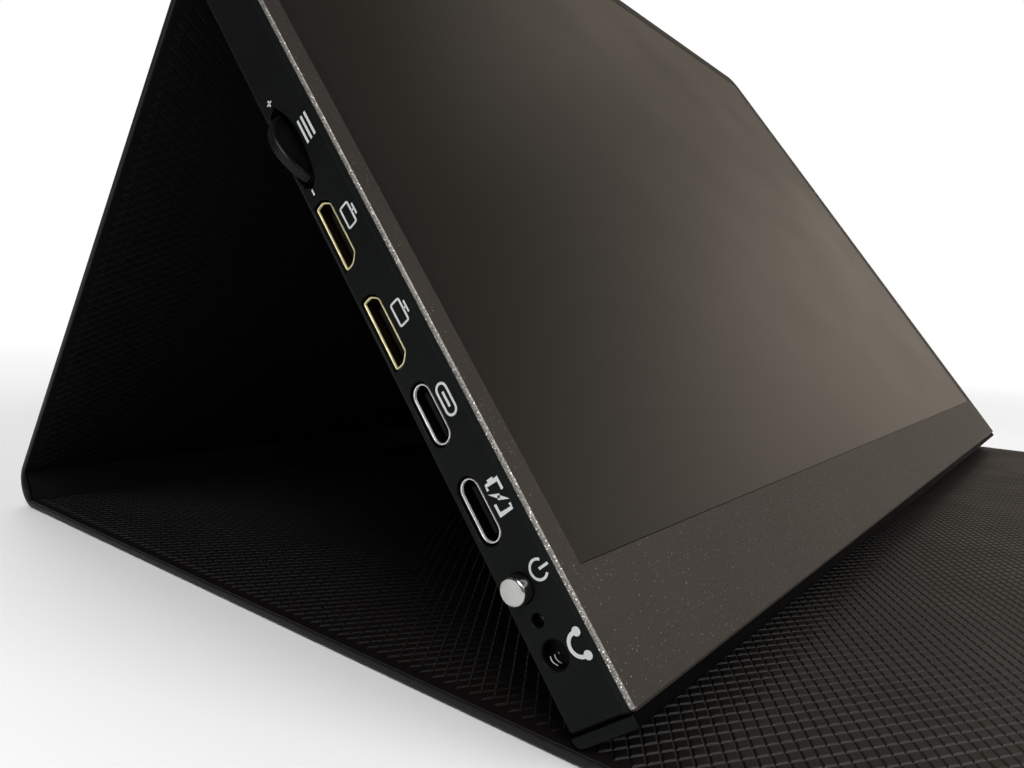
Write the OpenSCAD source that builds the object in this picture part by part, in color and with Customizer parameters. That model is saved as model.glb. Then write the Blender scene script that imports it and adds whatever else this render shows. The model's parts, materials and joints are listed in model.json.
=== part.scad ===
// Portable monitor that stands in its own folding cover.
// The cover's flap lies on the table, its back panel rises from the rear fold,
// and the monitor leans on that panel with its bottom edge on the flap.
// X runs along the monitor's width, Y towards the back, Z up.
// The origin is the centre of the flap's underside.

/* [Monitor] */
// Width of the monitor
monitor_w = 353; // [320:1:380]
// Height of the monitor, without its bottom rail
monitor_h = 223; // [205:1:240]
// Thickness of the monitor, from the frame's face to the casing's back
monitor_t = 10.1; // [10.1:0.1:13]
// Radius of the monitor's top corners
top_corner_r = 7; // [3:0.5:12]
// Radius of the monitor's bottom corners
bottom_corner_r = 1; // [0.6:0.1:2]
// Thickness of the front frame
frame_t = 1.5; // [1.2:0.1:1.8]
// Width of the frame beside the display
side_rim = 4.1; // [3.6:0.1:6]
// Width of the frame above the display
top_rim = 4.6; // [3.8:0.1:8]
// Height of the frame's chin under the display
chin_h = 16.9; // [15:0.1:22]
// Thickness of the casing's side walls
casing_wall = 1.4; // [1.1:0.1:1.7]
// Thickness of the casing's back plate
back_t = 1.0; // [0.9:0.05:1.2]
// Height of the rail under the bottom edge
rail_h = 1.6; // [1.4:0.1:2.2]
// Radius of the rail's rear edge, on which the monitor rests
rail_r = 1.2; // [0.8:0.1:1.4]

/* [Display] */
// Thickness of the glass that shows the picture
glass_t = 1.6; // [1.4:0.1:1.8]
// Depth of the glass below the frame's face
glass_sink = 0.3; // [0.1:0.05:0.5]
// Gap between the glass and the frame
glass_gap = 0.15; // [0.1:0.05:0.3]
// Thickness of the backlight unit behind the glass
backlight_t = 2.5; // [2:0.1:2.7]
// Length by which the backlight unit stands out past the glass
backlight_margin = 1.5; // [1:0.1:1.8]

/* [Left side] */
// Height of the menu wheel's centre above the bottom edge
wheel_y = 89.5; // [87:0.5:110]
// Height of the upper video socket's centre
hdmi_1_y = 73.2; // [72:0.1:74]
// Height of the lower video socket's centre
hdmi_2_y = 56.4; // [56:0.1:58]
// Height of the upper data socket's centre
usb_1_y = 42.7; // [42:0.1:44]
// Height of the lower data socket's centre
usb_2_y = 28.5; // [28:0.1:30]
// Height of the power button's centre
button_y = 17.7; // [17.4:0.1:19.8]
// Height of the status light's centre
light_y = 13.5; // [13.3:0.1:13.8]
// Height of the headphone socket's centre
jack_y = 9.1; // [8.9:0.1:9.2]
// Depth of the video sockets' centres below the frame's face
hdmi_depth = 7.5; // [7.3:0.05:7.5]
// Depth of the data sockets' centres below the frame's face
usb_depth = 7.0; // [6.8:0.05:7.2]
// Depth of the button's, light's and headphone socket's centres
round_depth = 6.5; // [6.4:0.05:6.5]
// Depth of the menu wheel's centre
wheel_depth = 7.8; // [7.6:0.05:7.9]

/* [Sockets] */
// Length of the video socket's shell across its wide side
hdmi_w = 11.2; // [10.8:0.1:11.4]
// Length of the shell's narrow side
hdmi_narrow_w = 8.9; // [8.4:0.1:9.4]
// Height of the video socket's shell
hdmi_h = 3.0; // [2.8:0.1:3.1]
// Height of the shell's straight ends, up to the slanted corners
hdmi_end_h = 1.7; // [1.2:0.1:2]
// Depth of the video socket
hdmi_l = 7.5; // [6.5:0.1:8.5]
// Length of the data socket's shell
usb_w = 8.94; // [8.9:0.02:9]
// Height of the data socket's shell
usb_h = 3.2; // [3.1:0.05:3.2]
// Depth of the data socket
usb_l = 7.3; // [6.5:0.1:8.5]
// Thickness of the shells' sheet metal
shell_t = 0.3; // [0.2:0.05:0.35]
// Gap between a shell and the cutout around it
cutout_gap = 0.35; // [0.2:0.05:0.5]
// Depth of the shells' mouths below the casing's side
mouth_depth = 0.35; // [0.2:0.05:0.5]
// Radius of the headphone socket's bore
jack_bore_r = 1.78; // [1.76:0.01:1.8]
// Depth of the headphone socket's bore
jack_bore_l = 14; // [13:0.5:15]
// Radius of the headphone socket's hole in the casing
jack_hole_r = 2.3; // [2.1:0.05:2.4]

/* [Controls] */
// Radius of the power button
button_r = 1.85; // [1.7:0.05:2.3]
// Length of the power button outside the casing
button_out = 2; // [1.6:0.1:3]
// Travel of the power button
button_travel = 0.6; // [0.4:0.1:0.7]
// Radius of the menu wheel
wheel_r = 7; // [6.8:0.1:8]
// Thickness of the menu wheel
wheel_t = 1.7; // [1.5:0.1:1.8]
// Length by which the wheel stands out of the casing
wheel_out = 3.1; // [2.6:0.1:3.2]
// Inward travel of the menu wheel
wheel_travel = 0.5; // [0.3:0.1:0.6]
// Radius of the wheel's axle
axle_r = 1.2; // [1:0.1:1.5]
// Radial clearance of each running fit
run_gap = 0.06; // [0.03:0.01:0.1]

/* [Cover] */
// Length of the flap that lies on the table
flap_l = 224; // [215:1:240]
// Length by which the cover stands out past the monitor on each side
cover_overhang = 0; // [0:0.5:2]
// Thickness of the cover's outer skin
skin_t = 0.5; // [0.4:0.1:0.8]
// Thickness of the boards inside the cover
board_t = 0.9; // [0.8:0.1:1.4]
// Thickness of the cover's lining
lining_t = 0.5; // [0.4:0.1:0.8]
// Width of the skin's turned edge around each board
hem_w = 1.6; // [1:0.1:3]
// Radius of the cover's corners
cover_corner_r = 7; // [3:0.5:12]
// Middle radius of the spine's curve at the rear fold
spine_r = 5; // [4:0.25:6]
// Distance of each panel from the upper fold's axis
crease_gap = 3; // [2.6:0.1:4]

/* [Stand] */
// Angle between the screen and the table
screen_lean = 51.5; // [49:0.5:54]
// Height of the upper fold on the monitor's back
fold_y = 132.3; // [128:0.1:136]
// Distance from the spine's centre back to the rear fold's axis
fold_reach = 14.6; // [13.6:0.1:15.2]
// Gap between the monitor's bottom edge and the flap
rest_gap = 0.3; // [0.3:0.05:0.5]

/* [Hidden] */
$fn = 64;
cut = 0.01;

// Colours
skin_black = [0.05, 0.05, 0.055];
lining_brown = [0.15, 0.13, 0.13];
board_grey = [0.45, 0.42, 0.38];
frame_grey = [0.33, 0.31, 0.29];
casing_black = [0.09, 0.1, 0.1];
screen_black = [0.07, 0.07, 0.075];
steel = [0.66, 0.66, 0.64];
gold = [0.8, 0.68, 0.38];
circuit_green = [0.06, 0.2, 0.12];
chip_black = [0.1, 0.1, 0.11];
foam_black = [0.14, 0.14, 0.14];
film_amber = [0.5, 0.3, 0.1];

// Monitor, seen with its screen up: x from its middle, y up from its bottom
// edge and z out of the frame's face
left_x = -monitor_w/2;
casing_z = -monitor_t;
floor_z = casing_z + back_t;
casing_h = monitor_t - frame_t;
window_w = monitor_w - 2*side_rim;
window_h = monitor_h - chin_h - top_rim;
glass_z = -glass_sink - glass_t;
backlight_z = glass_z - backlight_t;
wall_x = left_x + casing_wall;
wall_gap = 0.3;

// Insides of the sockets
hdmi_tongue_w = hdmi_narrow_w - 1.2;
hdmi_tongue_t = 0.9;
hdmi_tongue_depth = 1.2;
usb_tongue_w = usb_w - 2.25;
usb_tongue_t = 0.7;
usb_tongue_depth = 1.0;
jack_body_w = 6.0;
jack_body_h = 5.0;
jack_body_l = jack_bore_l + 1;
jack_collar_r = jack_hole_r - 0.1;
contact_x = wall_x + 2;
contact_l = 5;
contact_t = 0.25;
contact_w = 0.6;

// Main board, under the sockets' middles
board_h = 0.8;
board_top_z = -usb_depth - 0.4;
board_z = board_top_z - board_h;
board_gap = 0.6;
board_x = wall_x + board_gap;
board_w = 58;
board_low_y = 3.4;
board_l = hdmi_1_y + hdmi_w/2 + board_gap - board_low_y;
notch_gap = 0.3;
screw_inset = 6;
screw_past_jack = 5;
screw_xs = [board_x + jack_body_l + screw_past_jack, board_x + board_w - screw_inset];
screw_ys = [board_low_y + screw_inset, board_low_y + board_l - screw_inset];
screw_points = [for (x = screw_xs, y = screw_ys) [x, y]];
board_screw_r = 0.8;
board_head_r = 1.5;
board_head_h = 0.7;
post_r = 2.2;

// Ribs under the backlight unit
rib_t = 1;
rib_shift = 20;
rib_xs = [for (i = [-2:2]) i*monitor_w/7 + rib_shift];
rib_low_y = 44;
rib_high_gap = 42;

// Socket on the main board for the display's cable, which ends before a rib
cable_w = 18;
cable_t = 0.3;
connector_w = 4;
connector_inset = 1;
screw_to_cable = 2;
connector_x = board_x + board_w - connector_w - connector_inset;
connector_y = screw_ys[1] - cable_w - screw_to_cable;
cable_l = rib_xs[0] - rib_t/2 - wall_gap - connector_x;

// Parts on the main board: two chips under the shield and a row beside it
shield_gap = 3;
shield_x = screw_xs[0] + 4;
shield_y = screw_ys[0] + 20;
shield_w = connector_x - shield_gap - shield_x;
shield_l = 34;
shield_h = 1.9;
shield_t = 0.2;
chip_margin = 3;
chip_w = shield_w - 4*chip_margin;
chip_l = 12;
chip_h = 1.1;
chip_ys = [chip_margin, shield_l - chip_margin - chip_l];
small_chips = 5;
small_chip_w = 3.2;
small_chip_x = screw_xs[0] - 5.5;
small_chip_pitch = 2*small_chip_w;

// Screws that hold the frame in the casing, along the chin
casing_screw_xs = [for (i = [-3, -1, 1, 3]) i*monitor_w/10];
casing_screw_y = 6.5;
casing_screw_r = 1.0;
casing_head_r = 1.9;
casing_head_h = 0.5;
head_gap = 0.1;
frame_post_r = 2.4;
thread_gap = 0.02;

// Speakers
speaker_l = 46;
speaker_w = 13;
speaker_h = 3.6;
speaker_past_board = 11.5;
speaker_x = -(board_x + board_w + speaker_past_board + speaker_l/2);
speaker_y = 26.5;
speaker_slots = 7;
slot_pitch = 5.6;
slot_l = 8;
slot_w = 1.4;

// Controls
button_hole_r = button_r + run_gap;
flange_r = button_r + 0.3;
flange_t = 0.5;
flange_gap = 0.1;
stem_r = 0.8;
stem_l = 1.3;
switch_w = 4.4;
switch_l = 3.4;
switch_h = -2*(board_top_z + round_depth);
switch_gap = 0.15;
wheel_x = left_x + wheel_r - wheel_out;
wheel_slot_gap = 0.35;
wheel_slot_reach = 0.9;
wheel_bore_r = axle_r + run_gap;
carrier_t = 0.7;
carrier_gap = 0.1;
carrier_r = wheel_r - wheel_out - casing_wall - wall_gap;
light_hole_r = 0.9;
light_gap = 0.05;
led_x = wall_x + 2.2;
led_l = 1.2;
led_w = 1.6;
led_h = 1.6;
carrier_arm = wheel_r - carrier_r + 1.4;
wheel_switch_w = 8;
wheel_switch_l = 7;
wheel_switch_h = 3.1;

// Cover
cover_t = skin_t + board_t + lining_t;
cover_w = monitor_w + 2*cover_overhang;
soft_gap = 0.3;
magnet_r = 5;
magnet_gap = 0.05;
magnet_xs = [for (i = [-3, -1, 1, 3]) i*cover_w/8];
magnet_inset = 12;
plate_t = 0.4;
plate_w = 16;
plate_l = cover_w*0.84;

// The monitor turns about the centre of its rail's rounded edge, about the
// upper fold on its back and about the rear fold: the three are the corners
// of a triangle with two equal sides
edge_v = rail_r - rail_h;
edge_w = casing_z + rail_r;
edge_z = cover_t + rest_gap + rail_r;
fold_w = casing_z - cover_t/2;
side_l = norm([fold_y - edge_v, edge_w - fold_w]);
side_angle = screen_lean - atan2(edge_w - fold_w, fold_y - edge_v);
spine_y = flap_l/2;
rear_fold_y = spine_y + fold_reach;
rear_fold_z = edge_z;
edge_y = rear_fold_y - 2*side_l*cos(side_angle);
upper_fold_y = edge_y + side_l*cos(side_angle);
upper_fold_z = edge_z + side_l*sin(side_angle);

// The spine bends about its own centre, and the back panel is tangent to it
spine_z = spine_r + cover_t/2;
spine_to_fold = [spine_y - upper_fold_y, upper_fold_z - spine_z];
panel_angle = atan2(spine_to_fold[1], spine_to_fold[0])
    - asin(spine_r/norm(spine_to_fold));
panel_span = sqrt(pow(norm(spine_to_fold), 2) - pow(spine_r, 2));
panel_l = panel_span - crease_gap - soft_gap;
upper_panel_l = monitor_h - fold_y - crease_gap;
crease_t = 1.2;

// Places children, drawn with the screen up, in the leaning monitor
module on_monitor() {
    translate([0, edge_y, edge_z])
        rotate([screen_lean, 0, 0])
        translate([0, -edge_v, -edge_w])
        children();
}

// Places children, drawn up from the upper fold's axis with their outer
// face down, along the back panel
module on_back_panel() {
    translate([0, upper_fold_y, upper_fold_z])
        rotate([-panel_angle, 0, 0])
        translate([0, crease_gap, 0])
        mirror([0, 0, 1])
        translate([0, 0, -cover_t/2])
        children();
}

// Places children, drawn with their outer face down, on the monitor's back
module on_upper_panel() {
    on_monitor()
        translate([0, fold_y + crease_gap, casing_z - cover_t])
        children();
}

// Places children, drawn with their outer face down, in the flap
module on_flap() {
    translate([0, spine_y - flap_l, 0])
        children();
}

// Outline with its near edge on the x axis and its own radius at each end
module sheet(w, l, near_r, far_r) {
    translate([-w/2, near_r])
        square([w, l - near_r - far_r]);
    translate([near_r - w/2, 0])
        square([w - 2*near_r, l/2]);
    translate([far_r - w/2, l/2])
        square([w - 2*far_r, l/2]);
    for (side = [-1, 1]) {
        translate([side*(w/2 - near_r), near_r])
            circle(r = near_r);
        translate([side*(w/2 - far_r), l - far_r])
            circle(r = far_r);
    }
}

// Outline of the monitor, drawn in by a margin
module monitor_outline(margin) {
    translate([0, margin])
        sheet(monitor_w - 2*margin, monitor_h - 2*margin,
            max(bottom_corner_r - margin, 0.3), max(top_corner_r - margin, 0.3));
}

// Outline of the display's window, widened by a margin
module window_outline(margin) {
    translate([-window_w/2 - margin, chin_h - margin])
        square([window_w + 2*margin, window_h + 2*margin]);
}

// Outline of the backlight unit, held inside the casing's walls
module backlight_outline() {
    intersection() {
        window_outline(backlight_margin);
        monitor_outline(casing_wall + wall_gap);
    }
}

// Slab of an outline from one height to another
module slab(low_z, high_z) {
    translate([0, 0, low_z])
        linear_extrude(high_z - low_z)
        children();
}

// Turns an outline's x and y into the monitor's y and z, and extrudes it
// along x from a first place to a second
module along_x(from_x, to_x) {
    translate([from_x, 0, 0])
        rotate([90, 0, 90])
        linear_extrude(to_x - from_x)
        children();
}

// Rod along x between two places, in the monitor
module rod(from_x, to_x, y, depth, r) {
    along_x(from_x, to_x)
        translate([y, -depth])
        circle(r = r);
}

// Outer outline of a video socket's shell, about its centre: its wide side
// faces the monitor's back
module hdmi_outline(margin) {
    wide = hdmi_w/2 + margin;
    narrow = hdmi_narrow_w/2 + margin*0.7;
    low = -hdmi_h/2 - margin;
    high = hdmi_h/2 + margin;
    corner = low + hdmi_end_h + margin;
    polygon([
        [-wide, low], [wide, low], [wide, corner],
        [narrow, high], [-narrow, high], [-wide, corner]
    ]);
}

// Outline of a data socket's shell, about its centre
module usb_outline(margin) {
    r = usb_h/2 + margin;
    reach = (usb_w - usb_h)/2;
    square([2*reach, 2*r], center = true);
    for (side = [-1, 1])
        translate([side*reach, 0])
            circle(r = r);
}

// Outline of the wheel's slot, about the wheel's centre
module wheel_slot_outline(reach, gap) {
    half_l = sqrt(pow(wheel_r, 2) - pow(wheel_r - wheel_out - casing_wall, 2));
    r = wheel_t/2 + gap;
    square([2*(half_l + reach - r), 2*r], center = true);
    for (side = [-1, 1])
        translate([side*(half_l + reach - r), 0])
            circle(r = r);
}

// Disc for each magnet, along a row across the cover
module magnet_discs(y, low_z, high_z, r) {
    for (x = magnet_xs)
        translate([x, y, low_z])
            cylinder(r = r, h = high_z - low_z);
}

// Skin of a cover panel: an outer sheet with a turned edge around the board
module panel_skin(l, near_r, far_r) {
    difference() {
        slab(0, cover_t - lining_t)
            sheet(cover_w, l, near_r, far_r);
        slab(skin_t, cover_t)
            panel_board_outline(l, near_r, far_r);
    }
}

// Outline of the board inside a cover panel
module panel_board_outline(l, near_r, far_r) {
    translate([0, hem_w])
        sheet(cover_w - 2*hem_w, l - 2*hem_w,
            max(near_r - hem_w, 0.3), max(far_r - hem_w, 0.3));
}

// Board of a cover panel
module panel_board(l, near_r, far_r) {
    slab(skin_t, skin_t + board_t)
        panel_board_outline(l, near_r, far_r);
}

// Lining of a cover panel
module panel_lining(l, near_r, far_r) {
    slab(cover_t - lining_t, cover_t)
        sheet(cover_w, l, near_r, far_r);
}

module flap_skin() {
    color(skin_black)
        on_flap()
        panel_skin(flap_l, cover_corner_r, 0.3);
}

module flap_board() {
    color(board_grey)
        on_flap()
        difference() {
            panel_board(flap_l, cover_corner_r, 0.3);
            magnet_discs(magnet_inset, skin_t - cut, cover_t, magnet_r + magnet_gap);
        }
}

module flap_lining() {
    color(lining_brown)
        on_flap()
        panel_lining(flap_l, cover_corner_r, 0.3);
}

module flap_magnets() {
    color(steel)
        on_flap()
        magnet_discs(magnet_inset, skin_t, skin_t + board_t, magnet_r);
}

// Soft strip that turns from the flap up into the back panel
module spine() {
    outer_r = spine_r + cover_t/2;
    reach = 3*outer_r;
    turn = 90 - panel_angle;
    color(skin_black)
        translate([0, spine_y, spine_z])
        along_x(-cover_w/2, cover_w/2)
        intersection() {
            difference() {
                circle(r = outer_r);
                circle(r = spine_r - cover_t/2);
            }
            polygon([
                [0, 0], [0, -reach], [reach, -reach],
                [reach*cos(turn) + cut, reach*sin(turn)]
            ]);
        }
}

module back_panel_skin() {
    color(skin_black)
        on_back_panel()
        panel_skin(panel_l, 0.3, 0.3);
}

module back_panel_board() {
    color(board_grey)
        on_back_panel()
        panel_board(panel_l, 0.3, 0.3);
}

module back_panel_lining() {
    color(lining_brown)
        on_back_panel()
        panel_lining(panel_l, 0.3, 0.3);
}

// Soft strip at the upper fold, bent from the upper panel to the back panel
module upper_crease() {
    fold_angle = 180 - screen_lean - panel_angle;
    color(skin_black)
        on_monitor()
        translate([0, fold_y, fold_w])
        along_x(-cover_w/2, cover_w/2)
        union() {
            translate([0, -crease_t/2])
                square([crease_gap, crease_t]);
            circle(r = crease_t/2);
            rotate(180 + fold_angle)
                translate([0, -crease_t/2])
                square([crease_gap - soft_gap, crease_t]);
        }
}

module upper_panel_skin() {
    color(skin_black)
        on_upper_panel()
        panel_skin(upper_panel_l, 0.3, cover_corner_r);
}

module upper_panel_board() {
    color(board_grey)
        on_upper_panel()
        difference() {
            panel_board(upper_panel_l, 0.3, cover_corner_r);
            magnet_discs(upper_panel_l - magnet_inset, skin_t - cut, cover_t,
                magnet_r + magnet_gap);
        }
}

module upper_panel_lining() {
    color(lining_brown)
        on_upper_panel()
        panel_lining(upper_panel_l, 0.3, cover_corner_r);
}

module upper_panel_magnets() {
    color(steel)
        on_upper_panel()
        magnet_discs(upper_panel_l - magnet_inset, skin_t, skin_t + board_t, magnet_r);
}

// Steel strip behind the casing's back plate, which the magnets hold
module attach_plate() {
    color(steel)
        on_monitor()
        translate([-plate_l/2, monitor_h - magnet_inset - plate_w/2, floor_z])
        cube([plate_l, plate_w, plate_t]);
}

// Holes for the sockets and controls, through the casing's left wall
module left_wall_cutouts() {
    from_x = left_x - 1;
    to_x = wall_x + cut;
    for (y = [hdmi_1_y, hdmi_2_y])
        along_x(from_x, to_x)
            translate([y, -hdmi_depth])
            hdmi_outline(cutout_gap);
    for (y = [usb_1_y, usb_2_y])
        along_x(from_x, to_x)
            translate([y, -usb_depth])
            usb_outline(cutout_gap);
    rod(from_x, to_x, button_y, round_depth, button_hole_r);
    rod(from_x, to_x, light_y, round_depth, light_hole_r);
    rod(from_x, to_x, jack_y, round_depth, jack_hole_r);
    along_x(from_x, to_x)
        translate([wheel_y, -wheel_depth])
        wheel_slot_outline(wheel_slot_reach, wheel_slot_gap);
}

// Slots in the back plate under one speaker
module speaker_slots(side) {
    for (i = [0:speaker_slots - 1])
        translate([side*speaker_x + (i - (speaker_slots - 1)/2)*slot_pitch,
            speaker_y, casing_z - 1])
            linear_extrude(back_t + 1 + cut) {
                square([slot_w, slot_l - slot_w], center = true);
                for (end = [-1, 1])
                    translate([0, end*(slot_l - slot_w)/2])
                        circle(r = slot_w/2);
            }
}

module rear_casing() {
    color(casing_black)
        on_monitor()
        difference() {
            union() {
                slab(casing_z, floor_z)
                    monitor_outline(0);
                slab(casing_z, -frame_t)
                    difference() {
                        monitor_outline(0);
                        monitor_outline(casing_wall);
                    }
                for (x = rib_xs)
                    translate([x - rib_t/2, rib_low_y, floor_z - cut])
                        cube([rib_t, monitor_h - rib_low_y - rib_high_gap,
                            backlight_z - floor_z + cut]);
                for (p = screw_points)
                    translate([p[0], p[1], floor_z - cut])
                        cylinder(r = post_r, h = board_z - floor_z + cut);
            }
            left_wall_cutouts();
            for (side = [-1, 1])
                speaker_slots(side);
            for (p = screw_points)
                translate([p[0], p[1], casing_z + back_t/2])
                    cylinder(r = board_screw_r + thread_gap, h = monitor_t);
            for (x = casing_screw_xs)
                translate([x, casing_screw_y, casing_z - 1]) {
                    cylinder(r = casing_screw_r + head_gap, h = monitor_t);
                    cylinder(r = casing_head_r + head_gap, h = 1 + casing_head_h);
                }
        }
}

// Rail under the bottom edge, rounded where it rests on the flap
module bottom_rail() {
    rail_front = -glass_sink - 0.4;
    color(casing_black)
        on_monitor()
        along_x(left_x, -left_x)
        intersection() {
            union() {
                translate([edge_v, edge_w])
                    circle(r = rail_r);
                translate([edge_v, casing_z])
                    square([rail_h, monitor_t]);
                translate([-rail_h, edge_w])
                    square([rail_h, monitor_t]);
            }
            translate([-rail_h, casing_z])
                square([rail_h, rail_front - casing_z]);
        }
}

module front_frame() {
    color(frame_grey)
        on_monitor()
        difference() {
            union() {
                slab(-frame_t, 0)
                    difference() {
                        monitor_outline(0);
                        window_outline(0);
                    }
                for (x = casing_screw_xs)
                    translate([x, casing_screw_y, floor_z])
                        cylinder(r = frame_post_r, h = -frame_t - floor_z + cut);
            }
            for (x = casing_screw_xs)
                translate([x, casing_screw_y, casing_z])
                    cylinder(r = casing_screw_r + thread_gap, h = casing_h - 1);
        }
}

module display_glass() {
    color(screen_black)
        on_monitor()
        slab(glass_z, -glass_sink)
        window_outline(-glass_gap);
}

module backlight_unit() {
    color(steel)
        on_monitor()
        slab(backlight_z, glass_z)
        backlight_outline();
}

// Foam between the frame and the backlight unit, around the glass
module panel_gasket() {
    color(foam_black)
        on_monitor()
        slab(glass_z, -frame_t)
        difference() {
            backlight_outline();
            window_outline(0);
        }
}

// Row of notches in the main board, one for each socket
module board_notches() {
    for (y = [hdmi_1_y, hdmi_2_y])
        notch(y, hdmi_w, hdmi_l);
    for (y = [usb_1_y, usb_2_y])
        notch(y, usb_w, usb_l);
    notch(jack_y, jack_body_w, jack_body_l);
    notch(button_y, 2*flange_r, casing_wall + flange_gap + flange_t + button_travel);
}

// Notch in the main board's left edge
module notch(y, w, l) {
    translate([left_x, y - w/2 - notch_gap, board_z - 1])
        cube([mouth_depth + l + notch_gap, w + 2*notch_gap, board_h + 2]);
}

module main_board() {
    color(circuit_green)
        on_monitor()
        difference() {
            translate([board_x, board_low_y, board_z])
                cube([board_w, board_l, board_h]);
            board_notches();
            for (p = screw_points)
                translate([p[0], p[1], board_z - 1])
                    cylinder(r = board_screw_r + head_gap, h = board_h + 2);
        }
}

module board_chips() {
    color(chip_black)
        on_monitor()
        translate([0, 0, board_top_z]) {
            for (y = chip_ys)
                translate([shield_x + 2*chip_margin, shield_y + y, 0])
                    cube([chip_w, chip_l, chip_h]);
            for (i = [0:small_chips - 1])
                translate([small_chip_x, shield_y + i*small_chip_pitch, 0])
                    cube([small_chip_w, small_chip_w, chip_h]);
        }
}

module chip_shield() {
    color(steel)
        on_monitor()
        translate([shield_x, shield_y, board_top_z])
        difference() {
            cube([shield_w, shield_l, shield_h]);
            translate([shield_t, shield_t, -cut])
                cube([shield_w - 2*shield_t, shield_l - 2*shield_t, shield_h - shield_t]);
        }
}

module board_screws() {
    color(steel)
        on_monitor()
        for (p = screw_points)
            translate([p[0], p[1], 0]) {
                translate([0, 0, board_top_z])
                    cylinder(r = board_head_r, h = board_head_h);
                translate([0, 0, casing_z + back_t/2 + 0.1])
                    cylinder(r = board_screw_r, h = board_top_z - casing_z - back_t/2);
            }
}

module casing_screws() {
    color(steel)
        on_monitor()
        for (x = casing_screw_xs)
            translate([x, casing_screw_y, casing_z + 0.05]) {
                cylinder(r = casing_head_r, h = casing_head_h - 0.05);
                cylinder(r = casing_screw_r, h = casing_h - 2);
            }
}

// Shell of a video socket, open at its mouth
module hdmi_shell(y) {
    mouth_x = left_x + mouth_depth;
    color(gold)
        on_monitor()
        difference() {
            along_x(mouth_x, mouth_x + hdmi_l)
                translate([y, -hdmi_depth])
                hdmi_outline(0);
            along_x(mouth_x - 1, mouth_x + hdmi_l - shell_t)
                translate([y, -hdmi_depth])
                hdmi_outline(-shell_t);
        }
}

// Contact tongue inside a video socket
module hdmi_tongue(y) {
    color(chip_black)
        on_monitor()
        translate([left_x + mouth_depth + hdmi_tongue_depth, y - hdmi_tongue_w/2,
            -hdmi_depth - hdmi_tongue_t/2])
        cube([hdmi_l - shell_t - hdmi_tongue_depth, hdmi_tongue_w, hdmi_tongue_t]);
}

// Shell of a data socket, open at its mouth
module usb_shell(y) {
    mouth_x = left_x + mouth_depth;
    color(steel)
        on_monitor()
        difference() {
            along_x(mouth_x, mouth_x + usb_l)
                translate([y, -usb_depth])
                usb_outline(0);
            along_x(mouth_x - 1, mouth_x + usb_l - shell_t)
                translate([y, -usb_depth])
                usb_outline(-shell_t);
        }
}

// Contact tongue inside a data socket
module usb_tongue(y) {
    color(chip_black)
        on_monitor()
        translate([left_x + mouth_depth + usb_tongue_depth, y - usb_tongue_w/2,
            -usb_depth - usb_tongue_t/2])
        cube([usb_l - shell_t - usb_tongue_depth, usb_tongue_w, usb_tongue_t]);
}

module hdmi_shell_1() { hdmi_shell(hdmi_1_y); }
module hdmi_shell_2() { hdmi_shell(hdmi_2_y); }
module hdmi_tongue_1() { hdmi_tongue(hdmi_1_y); }
module hdmi_tongue_2() { hdmi_tongue(hdmi_2_y); }
module usb_c_shell_1() { usb_shell(usb_1_y); }
module usb_c_shell_2() { usb_shell(usb_2_y); }
module usb_c_tongue_1() { usb_tongue(usb_1_y); }
module usb_c_tongue_2() { usb_tongue(usb_2_y); }

module audio_jack() {
    front_x = wall_x + 0.1;
    mouth_x = left_x + mouth_depth;
    color(chip_black)
        on_monitor()
        difference() {
            union() {
                along_x(front_x, left_x + jack_body_l)
                    translate([jack_y - jack_body_w/2, -round_depth - jack_body_h/2])
                    square([jack_body_w, jack_body_h]);
                rod(mouth_x, front_x + cut, jack_y, round_depth, jack_collar_r);
            }
            rod(mouth_x - 1, mouth_x + jack_bore_l, jack_y, round_depth, jack_bore_r);
            for (side = [-1, 1])
                translate([contact_x, jack_y + side*jack_bore_r - contact_w,
                    -round_depth - contact_w])
                    cube([contact_l, 2*contact_w, 2*contact_w]);
        }
}

// Spring contacts in the headphone socket's side pockets
module jack_contacts() {
    color(gold)
        on_monitor()
        for (side = [-1, 1])
            translate([contact_x, jack_y + side*(jack_bore_r + contact_w - contact_t/2)
                - contact_t/2, -round_depth - contact_w/2])
                cube([contact_l, contact_t, contact_w]);
}

// Power button: a cap outside the casing, a flange behind the wall and a stem
module power_button() {
    flange_x = wall_x + flange_gap;
    color(steel)
        on_monitor() {
            rod(left_x - button_out, flange_x + cut, button_y, round_depth, button_r);
            rod(flange_x, flange_x + flange_t, button_y, round_depth, flange_r);
            rod(flange_x, flange_x + flange_t + stem_l, button_y, round_depth, stem_r);
        }
}

// Switch behind the power button, on the main board
module power_switch() {
    start_x = wall_x + flange_gap + flange_t + stem_l + button_travel + switch_gap;
    color(chip_black)
        on_monitor()
        translate([start_x, button_y - switch_w/2, board_top_z])
        cube([switch_l, switch_w, switch_h]);
}

module status_led() {
    color([0.9, 0.9, 0.85])
        on_monitor()
        translate([led_x, light_y - led_w/2, board_top_z])
        cube([led_l, led_w, led_h]);
}

// Clear rod that carries the status light to the casing's side
module light_pipe() {
    color([0.3, 0.33, 0.32])
        on_monitor()
        rod(left_x + mouth_depth, led_x - light_gap, light_y, round_depth,
            light_hole_r - light_gap);
}

// Menu wheel, flat beside the screen, with its rim in the casing's slot
module menu_wheel() {
    color(casing_black)
        on_monitor()
        translate([wheel_x, wheel_y, -wheel_depth - wheel_t/2])
        difference() {
            cylinder(r = wheel_r, h = wheel_t);
            translate([0, 0, -1])
                cylinder(r = wheel_bore_r, h = wheel_t + 2);
        }
}

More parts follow.
